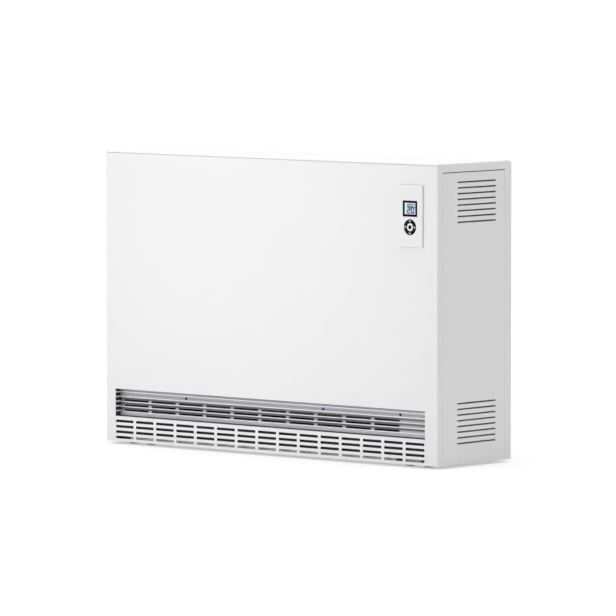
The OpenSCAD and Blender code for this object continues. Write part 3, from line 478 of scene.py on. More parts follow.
bead = bmesh.new()
rings = []
for rise, part in bead_ends:
    ring = []
    for i in range(bead_points):
        across = -1 + 2 * i / (bead_points - 1)
        sink = bead_depth * part * (1 - across ** 2)
        ring.append(Vector((bead_x + across * bead_half, back_face_y + bead_proud - sink,
            bead_low + rise * mm)))
    ring += [ring[-1] + Vector((0, mm, 0)), ring[0] + Vector((0, mm, 0))]
    rings.append(ring)
loft(bead, rings, True)
beads = in_rows(bead, powder_coat, bead_count, (bead_step, 0, 0))
seal(beads)
press = close_up(beads, "beads", powder_coat)
flat_sheet = bmesh.new()
flat_sheet.from_mesh(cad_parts["back_panel"].data)
flat_sheet = close_up(flat_sheet, "flat back sheet", powder_coat)
pressing = flat_sheet.modifiers.new("beads", "BOOLEAN")
pressing.operation = "DIFFERENCE"
pressing.object = press
pressed_sheet = bmesh.new()
pressed_sheet.from_mesh(as_built(flat_sheet))
fit(worked(pressed_sheet, "back_panel_sheet", powder_coat, 0.25, 2, 35),
    "casing", "white_paint", "back_panel")
bpy.data.objects.remove(press)
bpy.data.objects.remove(flat_sheet)


# Base tray and foot rails. Galvanised sheet with the soft crystals of hot dipping;
# two tabs lengthen the tray's tongue, which shows behind the intake, and a moulded
# black stop is hooked over it near its right end.
galvanised = Finish("galvanised sheet", Metallic=0.85)
spangle = galvanised.cells(95.0, output="Color")
galvanised.tone(spangle, (0.0, (0.52, 0.53, 0.54)), (1.0, (0.66, 0.67, 0.68)))
galvanised.gloss(galvanised.grain(70.0, 3), 0.38, 0.55)
galvanised.grit(260.0, 3, 0.00005, 0.4)
remade("base_tray", "base_tray_sheet", galvanised, 0.25, "casing", "zinc_sheet")
tab_y = in_mm(-109.1, -107.9)
tab_z = in_mm(7.2, 19.5)
tabs = bmesh.new()
for tab_x in (in_mm(-418, -397), in_mm(390, 421)):
    slab(tabs, tab_x, tab_y, tab_z)
fit(worked(tabs, "tongue_end_tabs", galvanised, 0.25), "casing", "zinc_sheet")
stop_x = (355, 382)
stop_outline = ((-111.3, 7), (-110.3, 7), (-110.3, 19.5), (-107.9, 19.5), (-107.9, 20.1),
    (-111.3, 20.1))
stop = bmesh.new()
loft(stop, [[(x * mm, y * mm, z * mm) for y, z in stop_outline] for x in stop_x])
bmesh.ops.recalc_face_normals(stop, faces=stop.faces)
fit(worked(stop, "tongue_stop", moulded_black, 0.25), "casing", "black_plastic")
remade("foot_rails", "foot_rails_sheet", galvanised, 0.5, "casing", "zinc_sheet")


# Screws. Blackened pan heads with hexagon sockets hold the outlet grille, and
# zinc-plated ones hold the back panel on the folds of the side panels.
screws, given, step, end = new_tree(
    "screws", ("Head radius", "Float"), ("Head height", "Float"), ("Socket radius", "Float"),
    ("Shank radius", "Float"), ("Shank length", "Float"), ("Turn", "Vector"))


def times(value, factor):
    return step("ShaderNodeMath", {0: value, 1: factor}, operation="MULTIPLY")["Value"]


def lifted(geometry, height):
    lift = step("ShaderNodeCombineXYZ", {"Z": height})
    return step("Transform", {
        "Geometry": geometry, "Translation": lift["Vector"]})["Geometry"]


head = step("MeshCone", {
    "Vertices": 32, "Radius Top": times(given["Head radius"], 0.82),
    "Radius Bottom": given["Head radius"], "Depth": given["Head height"]})
socket = step("MeshCylinder", {
    "Vertices": 6, "Radius": given["Socket radius"], "Depth": given["Head height"]})
socketed = step("MeshBoolean", {
    "Mesh 1": head["Mesh"],
    "Mesh 2": lifted(socket["Mesh"], times(given["Head height"], 0.9))},
    operation="DIFFERENCE")
shank = step("MeshCylinder", {
    "Vertices": 20, "Radius": given["Shank radius"], "Depth": given["Shank length"]})
screw = step("JoinGeometry", {"Geometry": [socketed["Mesh"], lifted(shank["Mesh"],
    times(given["Shank length"], -0.49))]})
turned = step("FunctionNodeEulerToRotation", {"Euler": given["Turn"]})
driven = step("InstanceOnPoints", {
    "Points": given["Geometry"], "Instance": screw["Geometry"],
    "Rotation": turned["Rotation"]})
end(driven["Instances"])


def screw_set(name, places, finish, edge, **sizes):
    """Screws at the given places, all driven the same way."""
    seed = bmesh.new()
    for place in places:
        seed.verts.new(place)
    return close_up(grown(screws, seed, finish, **sizes), name, finish, edge)


black_oxide = Finish("black oxide", (900.0, 3), (0.02, 0.02, 0.023), (0.04, 0.04, 0.045),
    (1500.0, 2), 0.3, 0.5, Metallic=0.6)
outlet_face_y = -106.3 * mm
outlet_screws_x = in_mm(-253.5, 144.0, 361.5)
outlet_screws_z = 109.9 * mm
fit(screw_set("outlet_grille_screws_black", [(x, outlet_face_y, outlet_screws_z)
    for x in outlet_screws_x], black_oxide, 0.3, Head_radius=3.1 * mm, Head_height=1.6 * mm,
    Socket_radius=1.3 * mm, Shank_radius=1.8 * mm, Shank_length=9 * mm,
    Turn=(math.pi / 2, 0, 0)), "casing", "black_screw", "outlet_grille_screws")

bright_zinc = Finish("bright zinc", (500.0, 3), (0.6, 0.61, 0.62), (0.72, 0.72, 0.7),
    (900.0, 2), 0.22, 0.36, Metallic=1.0)
casing_head = 1.2 * mm
casing_screws_x = in_mm(-465.9, 465.9)
casing_screws_z = in_mm(31.2, 605.8)
fit(screw_set("casing_screws_bright", [(x, back_face_y - casing_head, z)
    for x in casing_screws_x for z in casing_screws_z], bright_zinc, 0.2,
    Head_radius=3.0 * mm, Head_height=casing_head, Socket_radius=1.3 * mm,
    Shank_radius=2.0 * mm, Shank_length=27 * mm, Turn=(-math.pi / 2, 0, 0)), "casing",
    "zinc_sheet", "casing_screws")


# Outlet recess. A frame of dark, heat-proof coated sheet behind the opening, with
# short white studs on its jambs that keep the grille's ends in line.
heat_black = Finish("heat-proof black", (40.0, 4), (0.014, 0.014, 0.016),
    (0.026, 0.026, 0.029), (300.0, 3), 0.5, 0.7, Specular_IOR_Level=0.4)
heat_black.grit(1200.0, 2, 0.00003, 0.5)
remade("outlet_lining", "outlet_lining_sheet", heat_black, 0.2, "casing", "dark_lining")

stud_count = 5
stud_step = 10.5 * mm
stud_y = in_mm(-120.5, -107)
stud_z = in_mm(72.1, 74.7)
studs = bmesh.new()
for stud_x in (in_mm(-450.1, -447.1), in_mm(440.1, 443.1)):
    slab(studs, stud_x, stud_y, stud_z, True)
studs = in_rows(studs, powder_coat, stud_count, (0, 0, stud_step))
fit(close_up(studs, "outlet_jamb_studs", powder_coat, 0.4), "casing", "white_paint")


# Outlet grille. One aluminium extrusion with fine flutes and three sloping fins,
# punched with ten slots under each fin, satin anodised and plain at its right end.
# Its colour carries painted highlights on the fin noses and on a band low on the
# grille, and painted shade on the fins' downward faces and in the slots.
anodised = Finish("satin anodised aluminium", Metallic=0.6)
nose_z = 81.3 * mm
nose_step = 10.95 * mm
slot_wall_y = -103.0 * mm
at = anodised.add("SeparateXYZ", {"Vector": anodised.place}).outputs
facing = anodised.add("SeparateXYZ", {
    "Vector": anodised.add("NewGeometry").outputs["Normal"]}).outputs["Z"]
height = anodised.add("Math", {0: at["Z"], 1: 1 / nose_step, 2: -nose_z / nose_step},
    operation="MULTIPLY_ADD")
turn = anodised.add("Math", {0: height.outputs["Value"]}, operation="FRACT")


def shade(value, start, full, change):
    """A change of tone that grows as a value goes from its start to its full amount."""
    return anodised.add("MapRange", {
        "Value": value, "From Min": start, "From Max": full, "To Max": change})


# Painted light in the tone: raised at each fin's nose and on a band low on the grille
# (painted highlights), lowered on faces that look downwards (painted shade on the fins'
# undersides) and near black on the slot walls behind the fins (painted shade in the slots).
painted_nose_highlight = shade(turn.outputs["Value"], 0.24, 0.17, 0.5)
painted_lip_highlight = shade(at["Z"], 70.6 * mm, 69.4 * mm, 0.2)
painted_underside_shade = shade(facing, 0.0, -0.55, -0.36)
painted_slot_shade = shade(at["Y"], slot_wall_y, slot_wall_y + 0.4 * mm, -0.8)
drawn = anodised.add("Math", {
    0: anodised.grain(4.0, 3, (1, 60, 220)), 1: 0.25, 2: 0.375}, operation="MULTIPLY_ADD")
parts = drawn.outputs["Value"]
for part in (painted_nose_highlight, painted_lip_highlight, painted_underside_shade, painted_slot_shade):
    parts = anodised.add("Math", {0: parts, 1: part.outputs["Result"]},
        operation="ADD").outputs["Value"]
anodised.tone(parts, (0.0, (0.03, 0.03, 0.035)), (0.12, (0.24, 0.238, 0.25)),
    (0.43, (0.465, 0.46, 0.495)), (0.57, (0.505, 0.5, 0.535)), (0.95, (0.9, 0.895, 0.92)))
anodised.gloss(anodised.grain(6.0, 4, (1, 150, 400)), 0.32, 0.46)
anodised.relief(anodised.grain(8.0, 3, (1, 200, 600)), 0.00003, 0.5)
grille_x = in_mm(-449.7, 442.7)
grille_z = in_mm(63, 122.7)
grille_back_y = -100.3 * mm
slot_start_x = -439.5 * mm
slot_length = 71 * mm
slot_step = 80.6 * mm
slots_per_row = 10
slot_middles = [*in_mm(74.3, 85.25, 96.2)]
slot_half = 1.9 * mm
fin_rise = 5.1 * mm
fin_depth = 3.2 * mm
flute_depth = 0.55 * mm
flute_half = 0.55 * mm
flutes = [*in_mm(65.9, 69.3, 109.6, 117.6, 120.6)]

bends = [(0, grille_z[0])]
for z in sorted(flutes + slot_middles):
    if z in slot_middles:
        bends += [(0, z - slot_half), (fin_depth, z - slot_half), (fin_depth, z + slot_half),
            (0, z + slot_half + fin_rise)]
    else:
        bends += [(0, z - flute_half), (flute_depth, z), (0, z + flute_half)]
bends += [(0, grille_z[1])]
gaps = [(z - slot_half, z + slot_half) for z in slot_middles]


def grille_length(shape, x0, x1, slotted, marked):
    """A length of the extrusion between two places, slotted or plain."""
    for (d0, z0), (d1, z1) in zip(bends, bends[1:]):
        if not (slotted and d0 == d1 == fin_depth):
            face(shape, [(x0, outlet_face_y + d0, z0), (x1, outlet_face_y + d0, z0),
                (x1, outlet_face_y + d1, z1), (x0, outlet_face_y + d1, z1)], marked)
    levels = [grille_z[0], *[z for gap in gaps for z in gap], grille_z[1]]
    for z0, z1 in zip(levels, levels[1:]):
        if not (slotted and (z0, z1) in gaps):
            face(shape, [(x0, grille_back_y, z0), (x0, grille_back_y, z1),
                (x1, grille_back_y, z1), (x1, grille_back_y, z0)], marked)
    inner_y = outlet_face_y + fin_depth
    for z0, z1 in gaps if slotted else ():
        for z, way in ((z0, 1), (z1, -1)):
            face(shape, [(x0, inner_y, z), (x1, inner_y, z), (x1, grille_back_y, z),
                (x0, grille_back_y, z)][::way], marked)
        for x, way in ((x0, 1), (x1, -1)):
            face(shape, [(x, inner_y, z0), (x, inner_y, z1), (x, grille_back_y, z1),
                (x, grille_back_y, z0)][::-way], marked)
    for z, way in ((grille_z[0], -1), (grille_z[1], 1)):
        face(shape, [(x0, outlet_face_y, z), (x1, outlet_face_y, z), (x1, grille_back_y, z),
            (x0, grille_back_y, z)][::way], marked)


grille = bmesh.new()
grille_length(grille, slot_start_x, slot_start_x + slot_length, True, True)
grille_length(grille, slot_start_x + slot_length, slot_start_x + slot_step, False, True)
plain_x = slot_start_x + slots_per_row * slot_step
grille_length(grille, grille_x[0], slot_start_x, False, False)
grille_length(grille, plain_x, grille_x[1], False, False)
levels = [z for gap in gaps for z in gap]
for x, way in ((grille_x[0], -1), (grille_x[1], 1)):
    ring = [(x, outlet_face_y + d, z) for d, z in bends]
    ring += [(x, grille_back_y, z) for z in (grille_z[1], *levels[::-1], grille_z[0])]
    face(grille, ring[::-way])
grille = in_rows(grille, anodised, slots_per_row, (slot_step, 0, 0))
seal(grille)
fit(close_up(grille, "outlet_grille_extrusion", anodised, 0.28, 2, 50, 25),
    "casing", "anodised_aluminium", "air_outlet_grille")


# Intake grille. A white moulded lattice with a rim along its top and a fluff filter
# of black gauze and fleece clipped behind it; it pulls off forwards.
moulded_white = Finish("moulded white", (5.0, 2), (0.895, 0.895, 0.898),
    (0.905, 0.905, 0.905), (60.0, 3), 0.42, 0.52, IOR=1.46, Specular_IOR_Level=0.45)
moulded_white.pores(1400.0, 0.00003, 0.35)
lattice_x = in_mm(-449.65, 442.65)
lattice_y = in_mm(-122.3, -119.9)
lattice_columns = 14
lattice_rows = 4
lattice_step = 59.8133 * mm
lattice_slot = 51.9133 * mm
lattice_edge = 1.5 * mm
lattice_row = 12 * mm
lattice_low = 15.2 * mm
lattice_foot = 6 * mm
lattice_slot_half = 2.8 * mm
lattice_draft = in_mm(1.3, 0.5)
rim_z = in_mm(59.05, 61.65)
filter_y = in_mm(-119.9, -115.9)


def on_front(y, x, z):
    return Vector((x, y, z))


first_right = lattice_x[0] + lattice_slot + 2 * lattice_edge
cuts_x = sorted([lattice_x[0] + i * lattice_step for i in range(lattice_columns + 1)]
    + [first_right + i * lattice_step for i in range(lattice_columns)] + [lattice_x[1]])
cuts_z = [lattice_low + (j - 0.5) * lattice_row for j in range(lattice_rows + 1)]
lattice = bmesh.new()
sheet_with_window(lattice, lattice_y, cuts_x, [lattice_foot, *cuts_z, rim_z[1]],
    lambda x, z: cuts_z[0] < z < cuts_z[-1], on_front)
slot_z = (lattice_low - lattice_slot_half, lattice_low + lattice_slot_half)
slot_x = (lattice_x[0] + lattice_edge, first_right - lattice_edge)
cell_with_slot(lattice, lattice_y, (lattice_x[0], first_right), cuts_z[:2], slot_x, slot_z,
    on_front, True, lattice_draft)
for y, way in zip(lattice_y, (1, -1)):
    ring = [(first_right, y, cuts_z[0]), (lattice_x[0] + lattice_step, y, cuts_z[0]),
        (lattice_x[0] + lattice_step, y, cuts_z[1]), (first_right, y, cuts_z[1])]
    face(lattice, ring[::way], True)
for j in range(lattice_rows):
    shift_x, shift_z = lattice_columns * lattice_step, j * lattice_row
    cell_with_slot(lattice, lattice_y, (lattice_x[0] + shift_x, lattice_x[1]),
        (cuts_z[j], cuts_z[j + 1]), [x + shift_x for x in slot_x],
        [z + shift_z for z in slot_z], on_front, False, lattice_draft)
lattice = in_rows(lattice, moulded_white, lattice_columns, (lattice_step, 0, 0), lattice_rows,
    (0, 0, lattice_row))
seal(lattice)
slab(lattice, lattice_x, (lattice_y[1] - 0.1 * mm, filter_y[1]), rim_z)
fit(close_up(lattice, "intake_lattice", moulded_white, 0.3),
    "intake", "white_plastic", "intake_grille")

gauze_black = Finish("black gauze", (300.0, 2), (0.012, 0.012, 0.013), (0.02, 0.02, 0.021),
    (500.0, 2), 0.5, 0.7)
filter_z = in_mm(19.2, 59.05)
frame_high, frame_wide, bar_wide = 2 * mm, 1.5 * mm, 6.4 * mm
thread = 0.4 * mm
thread_y = in_mm(-117.0, -116.6, -116.2)
fleece_y = in_mm(-116.2, -116.0)
wefts, weft_step, weft_low = 20, 1.75 * mm, 3.8 * mm
warps, warp_step = 26, 2 * mm
gauze = bmesh.new()
for z in (filter_z[0], filter_z[1] - frame_high):
    slab(gauze, lattice_x, filter_y, (z, z + frame_high))
for x in (lattice_x[0], lattice_x[1] - frame_wide):
    slab(gauze, (x, x + frame_wide), filter_y, filter_z)
for i in range(wefts):
    z = filter_z[0] + weft_low + i * weft_step
    slab(gauze, lattice_x, thread_y[:2], (z, z + thread))
slab(gauze, lattice_x, fleece_y, filter_z)
bar_x = lattice_x[0] + lattice_step - bar_wide
slab(gauze, (bar_x, bar_x + bar_wide), filter_y, filter_z, True)
for i in range(warps):
    x = lattice_x[0] + frame_wide + (i + 0.5) * warp_step
    slab(gauze, (x, x + thread), thread_y[1:], filter_z, True)
gauze = in_rows(gauze, gauze_black, lattice_columns, (lattice_step, 0, 0))
fit(close_up(gauze, "fluff_filter_gauze", gauze_black), "intake", "fan_plastic",
    "fluff_filter")


# Control unit. A white moulding with straight sides and a bevel round its face, set
# through the front panel; its circuit board is clipped in behind.
housing_white = Finish("housing white", (5.0, 2), (0.868, 0.868, 0.87), (0.88, 0.88, 0.88),
    (60.0, 3), 0.38, 0.46, IOR=1.46, Specular_IOR_Level=0.45)
housing_white.pores(1400.0, 0.00003, 0.3)
remade("control_housing", "control_unit_moulding", housing_white, 0.4, "casing",
    "white_plastic", 3, 25)

lacquered_board = Finish("lacquered board", Coat_Weight=0.4)
tracks = lacquered_board.cells(420.0, "DISTANCE_TO_EDGE")
lacquered_board.tone(tracks, (0.0, (0.05, 0.3, 0.13)), (0.08, (0.01, 0.12, 0.05)))
lacquered_board.gloss(lacquered_board.grain(400.0), 0.25, 0.4)
lacquered_board.relief(tracks, 0.0001, 0.4)


def dress(finish, *nodes):
    """Gives frame pieces that keep their own shape their finish."""
    for node in nodes:
        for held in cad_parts[node].material_slots:
            held.material = finish.material


dress(lacquered_board, "control_board")


# Display. A liquid crystal window, lit from behind, in a gloss black surround;
# the figures are the dark segments of the crystal cell.
gloss_black = Finish("gloss black", (80.0, 2), (0.003, 0.003, 0.004), (0.006, 0.006, 0.007),
    (300.0, 3), 0.12, 0.2, IOR=1.5, Specular_IOR_Level=0.12)
remade("display_frame", "display_surround", gloss_black, 0.35, "casing", "gloss_black", 3)

crystal = Finish("liquid crystal", IOR=1.45, Coat_Weight=0.5, Coat_Roughness=0.05)
centre = in_mm(406.9, -126.7, 556.5)
away = crystal.add("VectorMath", {0: crystal.place, 1: centre}, operation="DISTANCE")
glow = crystal.add("Math", {0: crystal.grain(90.0, 2), 1: 0.5}, operation="MULTIPLY")
glow = crystal.add("Math", {
    0: away.outputs["Value"], 1: 45.0, 2: glow.outputs["Value"]}, operation="MULTIPLY_ADD")
crystal.tone(glow.outputs["Value"], (0.3, (0.24, 0.33, 0.5)), (0.6, (0.475, 0.575, 0.745)),
    (0.95, (0.78, 0.85, 0.93)))
crystal.gloss(crystal.cells(2600.0, stretch=(1, 0.01, 1)), 0.16, 0.3)
crystal.shader.inputs["Emission Color"].default_value = (0.6, 0.72, 0.9, 1)
crystal.shader.inputs["Emission Strength"].default_value = 0.06
remade("display_window", "display_crystal", crystal, 0.2, "casing", "display_glass")

segment_ink = Finish("crystal segments", (900.0, 2), (0.03, 0.05, 0.12), (0.05, 0.075, 0.155),
    (900.0, 2), 0.3, 0.4, Specular_IOR_Level=0.3)
crystal_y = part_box("display_window")[0][1]
figure_low = 543.0 * mm
figure_h = 15.6 * mm
figure_w = 9.4 * mm
stroke = 2.8 * mm
gap = 0.18 * mm
ink_y = (crystal_y - 0.06 * mm, crystal_y + 0.1 * mm)
unit_square = ((0, 0), (1, 0), (1, 1), (0, 1))
dots = [(417.6, 556.4, 1.4, 1.4)] + [(404.5 + i * 3.9, 562.0, 2.6, 1.6) for i in range(4)]
figures = bmesh.new()


def segment(*outline):
    """One dark segment, given by the corners of its outline."""
    loft(figures, [[(x, y, z) for x, z in outline] for y in ink_y])


lit = {"2": "abged", "0": "abcdef"}
for figure, left in (("2", 395.6 * mm), ("0", 406.9 * mm)):
    low = figure_low
    mid, top = low + figure_h / 2, low + figure_h
    right, half = left + figure_w, stroke / 2
    x = (left + stroke + gap, right - stroke - gap)
    bars = {
        "a": ((left + gap, top), (right - gap, top), (x[1], top - stroke),
            (x[0], top - stroke)),
        "d": ((left + gap, low), (x[0], low + stroke), (x[1], low + stroke),
            (right - gap, low)),
        "g": ((left + 2 * gap, mid), (x[0], mid + half), (x[1], mid + half),
            (right - 2 * gap, mid), (x[1], mid - half), (x[0], mid - half))}
    for bars_at, side, inner in (("fe", left, left + stroke), ("bc", right, right - stroke)):
        for bar, way, end_z in zip(bars_at, (1, -1), (top, low)):
            bars[bar] = ((side, mid + way * gap), (inner, mid + way * (half + gap)),
                (inner, end_z - way * (stroke + gap)), (side, end_z - way * gap))
    for bar in lit[figure]:
        segment(*bars[bar])
segment(in_mm(396.2, 560.6), in_mm(402.0, 560.6), in_mm(399.1, 564.5))
for x, z, wide, high in dots:
    segment(*[((x + i * wide) * mm, (z + k * high) * mm) for i, k in unit_square])
bmesh.ops.recalc_face_normals(figures, faces=figures.faces)
fit(close_up(figures, "display_figures", segment_ink), "casing", "gloss_black")

mask_x = in_mm(388.5, 421.3)
mask_y = (crystal_y - 0.1 * mm, crystal_y + 0.1 * mm)
mask_z = in_mm(540.2, 567.2)
seen_x = (mask_x[0] + 1.6 * mm, mask_x[1] - 1.9 * mm)
seen_z = (mask_z[0] + 1.5 * mm, mask_z[1] - 1.1 * mm)
mask = bmesh.new()
for x, z in (((mask_x[0], seen_x[0]), seen_z), ((seen_x[1], mask_x[1]), seen_z),
        (mask_x, (mask_z[0], seen_z[0])), (mask_x, (seen_z[1], mask_z[1]))):
    slab(mask, x, mask_y, z)
fit(close_up(mask, "display_mask", gloss_black), "casing", "gloss_black")


# Ring key. A polished black ring that rocks four ways on a moulded cross-piece,
# round a white middle key with a black spot; small white arrows mark the ways.
key_x = 404.9 * mm
key_z = 514.2 * mm
key_face_y = -127.7 * mm


def turned(shape, outline, place, steps=72):
    """Spins an outline of (radius, distance along the axis) pairs round an axis."""
    rings = [[place(r * math.cos(a), r * math.sin(a), along) for r, along in outline]
        for a in (2 * math.pi * i / steps for i in range(steps))]
    for i in range(steps):
        near, far = rings[i], rings[(i + 1) % steps]
        for j in range(len(outline)):
            k = (j + 1) % len(outline)
            if outline[j][0] > 0 or outline[k][0] > 0:
                ring = [near[j], near[k], far[k], far[j]]
                if outline[j][0] == 0:
                    ring = [near[j], near[k], far[k]]
                if outline[k][0] == 0:
                    ring = [near[j], near[k], far[j]]
                face(shape, ring)
    seal(shape, 1e-6)


def on_key(across, up, along):
    return (key_x + across, along, key_z + up)


def key_part(name, finish, body, slot, node, *outline, steps=72):
    """A round part of the keys, its outline given in mm as turned takes it."""
    shape = bmesh.new()
    turned(shape, [(r * mm, along * mm) for r, along in outline], on_key, steps)
    fit(close_up(shape, name, finish), body, slot, node)


key_part("ring_key", gloss_black, "nav_key", "gloss_black", "nav_ring", (9.0, -127.0),
    (9.15, -127.3), (9.5, -127.48), (11.6, -127.58), (13.4, -127.6), (14.6, -127.55),
    (15.7, -127.36), (16.25, -127.05), (16.52, -126.6), (16.6, -126.0), (16.6, -119.1),
    (9.0, -119.1))

key_white = Finish("polished white", (120.0, 2), (0.9, 0.9, 0.905), (0.915, 0.915, 0.92),
    (400.0, 2), 0.2, 0.3, IOR=1.5, Coat_Weight=0.25, Coat_Roughness=0.1)
key_part("middle_key", key_white, "centre_key", "key_white", "centre_button", (0, -126.7),
    (4.4, -126.7), (4.4, -127.38), (4.7, -127.45), (6.4, -127.5), (7.9, -127.44),
    (8.4, -127.2), (8.6, -126.8), (8.6, -120.3), (3.5, -120.3), (3.5, -110.4), (0, -110.4))
key_part("middle_key_spot", gloss_black, "centre_key", "gloss_black", "centre_spot",
    (0, -127.25), (3.2, -127.28), (4.0, -127.38), (4.4, -127.3), (4.4, -126.7), (0, -126.7),
    steps=48)

# The marked part is set again and again round a centre, turned a step each time.
rounds, given, step, end = new_tree(
    "set in the round", ("Number", "Int"), ("Turn", "Vector"), ("Centre", "Vector"))
split = parted(given, step)
at_centre = step("MeshLine", {
    "Count": given["Number"], "Start Location": given["Centre"], "Offset": (0, 0, 0)},
    mode="OFFSET")
order = step("InputIndex")
angle = step("ShaderNodeVectorMath", {0: given["Turn"], "Scale": order["Index"]},
    operation="SCALE")
facing = step("FunctionNodeEulerToRotation", {"Euler": angle["Vector"]})
spread = step("InstanceOnPoints", {
    "Points": at_centre["Mesh"], "Instance": split["Selection"],
    "Rotation": facing["Rotation"]})
end(spread["Instances"], split["Inverted"])

arrow_count = 4
arrow_z = in_mm(11.9, 15.0)
arrow_half = in_mm(2.6, 0.3)
arrow_thick = 0.5 * mm
arrow = bmesh.new()
loft(arrow, [[(-arrow_half[0], y, arrow_z[0]), (arrow_half[0], y, arrow_z[0]),
    (arrow_half[1], y, arrow_z[1]), (-arrow_half[1], y, arrow_z[1])]
    for y in (key_face_y + arrow_thick, key_face_y)], True)
arrows = grown(rounds, arrow, key_white, Number=arrow_count,
    Turn=(0, 2 * math.pi / arrow_count, 0), Centre=(key_x, 0, key_z))
bmesh.ops.recalc_face_normals(arrows, faces=arrows.faces)
fit(close_up(arrows, "ring_key_arrows", key_white), "nav_key", "key_white")

dress(moulded_black, "nav_gimbal", "cable_clamp", "power_relay")


# Inner housing. Bulkheads, shelf and covers of galvanised sheet round the core,
# with the wiring compartment's carrier plate and the strip for the wall screws.
dress(galvanised, "bulkhead_left", "bulkhead_right", "core_shelf", "inner_front_cover",
    "inner_back_cover", "inner_top_cover", "wiring_carrier")
remade("wall_bracket", "wall_screw_strip", galvanised, 0.4, "casing", "zinc_sheet")


# Insulation. Slabs of pressed, buff-coloured mineral fibre, cut to size, which
# stand against all six sides of the core.
pressed_fibre = Finish("pressed mineral fibre", Sheen_Weight=0.2)
strands = pressed_fibre.grain(160.0, 6, (1, 5, 1), 0.7)
pressed_fibre.tone(strands, (0.25, (0.42, 0.36, 0.24)), (0.5, (0.56, 0.51, 0.38)),
    (0.75, (0.68, 0.64, 0.52)))
pressed_fibre.gloss(strands, 0.85, 1.0)
pressed_fibre.relief(strands, 0.0012, 0.8)
pressed_fibre.pores(55.0, 0.0008, 0.3)
dress(pressed_fibre, "insulation_base", "insulation_front", "insulation_back",
    "insulation_left", "insulation_right", "insulation_top")


# Storage core. Pressed and fired magnesite bricks, dark brown with coarse pale
# grains, stacked in four layers with the heating rods in their joints.
magnesite = Finish("fired magnesite")
grit = magnesite.cells(420.0, output="Color")
magnesite.tone(magnesite.grain(38.0, 5, rough=0.6), (0.3, (0.13, 0.075, 0.05)),
    (0.55, (0.2, 0.12, 0.085)), (0.8, (0.3, 0.2, 0.15)))
magnesite.gloss(grit, 0.7, 0.95)
magnesite.grit(300.0, 4, 0.0006, 0.7)
magnesite.pores(120.0, 0.0006, 0.25)
dress(magnesite, "brick_layer_1", "brick_layer_2", "brick_layer_3", "brick_layer_4")

scaled_steel = Finish("heat-scaled steel", (90.0, 4, (0.3, 1, 1)), (0.1, 0.09, 0.085),
    (0.2, 0.18, 0.165), (250.0, 3), 0.45, 0.7, Metallic=0.7)
scaled_steel.grit(700.0, 3, 0.00008, 0.5)
remade("heating_elements", "heating_rods", scaled_steel, 0.3, "casing", "rod_sheath")


# Fan. Two moulded drum wheels with forward-curved blades on one steel shaft, which
# a motor between them turns in bronze bushes, inside a scroll of galvanised sheet.
fan_y = -10.3 * mm
fan_z = 46.4 * mm
blade_count = 24
disc_count = 4
disc_r = in_mm(22, 31.9)
disc_half = 0.6 * mm
wheel_ends = {"left": in_mm(-386.5, -81.0), "right": in_mm(-9.0, 296.5)}
moulded_grey = Finish("fan moulding", (150.0, 2), (0.045, 0.045, 0.05), (0.065, 0.065, 0.07),
    (300.0, 3), 0.4, 0.55, IOR=1.46)
moulded_grey.pores(1100.0, 0.00003, 0.4)

for side, (x0, x1) in wheel_ends.items():
    wheel = bmesh.new()

    def on_shaft(across, up, along):
        return (along, fan_y + across, fan_z + up)

    for near, far, way in ((x0, x0 + 14 * mm, 1), (x1, x1 - 14 * mm, -1)):
        turned(wheel, [(4 * mm, near), (31.6 * mm, near), (32 * mm, near + way * 0.4 * mm),
            (32 * mm, near + way * 3 * mm), (9 * mm, near + way * 3 * mm),
            (8 * mm, near + way * 4 * mm), (8 * mm, far), (4 * mm, far)], on_shaft)
    for i in range(1, disc_count + 1):
        mid = x0 + (x1 - x0) * i / (disc_count + 1)
        turned(wheel, [(disc_r[k], mid + way * disc_half)
            for k, way in ((0, -1), (1, -1), (1, 1), (0, 1))], on_shaft)
    curve = []
    for i in range(7):
        r, a = 22.6 + i * 1.45, 0.012 * i * i
        curve.append((r * math.cos(a), r * math.sin(a)))
    back = [(y - 0.25, z + 0.75) for y, z in reversed(curve)]
    loft(wheel, [[(x, y * mm, z * mm) for y, z in curve + back]
        for x in (x0 + 2.9 * mm, x1 - 2.9 * mm)], True)
    wheel = grown(rounds, wheel, moulded_grey, Number=blade_count,
        Turn=(2 * math.pi / blade_count, 0, 0), Centre=(0, fan_y, fan_z))
    seal(wheel, 1e-6)
    fit(close_up(wheel, f"fan_wheel_{side}_moulding", moulded_grey), "fan", "fan_plastic",
        f"fan_wheel_{side}")

turned_steel = Finish("turned steel", (40.0, 3, (30, 1, 1)), (0.42, 0.43, 0.44),
    (0.52, 0.53, 0.54), (60.0, 3, (40, 1, 1)), 0.2, 0.4, Metallic=1.0)
bronze = Finish("bearing bronze", (220.0, 4), (0.42, 0.26, 0.1), (0.58, 0.4, 0.18),
    (500.0, 2), 0.28, 0.45, Metallic=1.0)
remade("fan_shaft", "fan_shaft_turned", turned_steel, 0.5, "fan", "motor_steel")
remade("fan_motor", "fan_motor_case", turned_steel, 1.2, "casing", "motor_steel", 3)
remade("fan_bearings", "fan_bushes", bronze, 0.4, "casing", "bearing_bronze")
remade("fan_scroll", "fan_scroll_sheet", galvanised, 0, "casing", "zinc_sheet")
dress(galvanised, "fan_end_plates")


# Damper. A sheet flap under the front air slit, on a spindle in two brackets, with
# the bimetal strip that pushes its lever as the outlet air warms.
remade("damper_flap", "damper_flap_sheet", galvanised, 0.2, "damper", "zinc_sheet")
dress(galvanised, "damper_brackets")
dress(bronze, "bimetal_strip")


# Wiring compartment. Terminals and safety cut-outs in pale heat-resistant moulding,
# with tinned blades that the cut-outs and the relay are wired by, the red reset
# button, and the rubber bush that leads the supply through the back.
ceramic_ivory = Finish("ivory moulding", (90.0, 3), (0.68, 0.62, 0.48), (0.74, 0.69, 0.56),
    (400.0, 2), 0.35, 0.5, IOR=1.5)
ceramic_ivory.pores(1300.0, 0.00003, 0.35)
for node in ("terminal_block", "thermal_cutouts", "room_sensor"):
    remade(node, f"{node}_moulding", ceramic_ivory, 0.6, "casing", "ivory_plastic", 3)

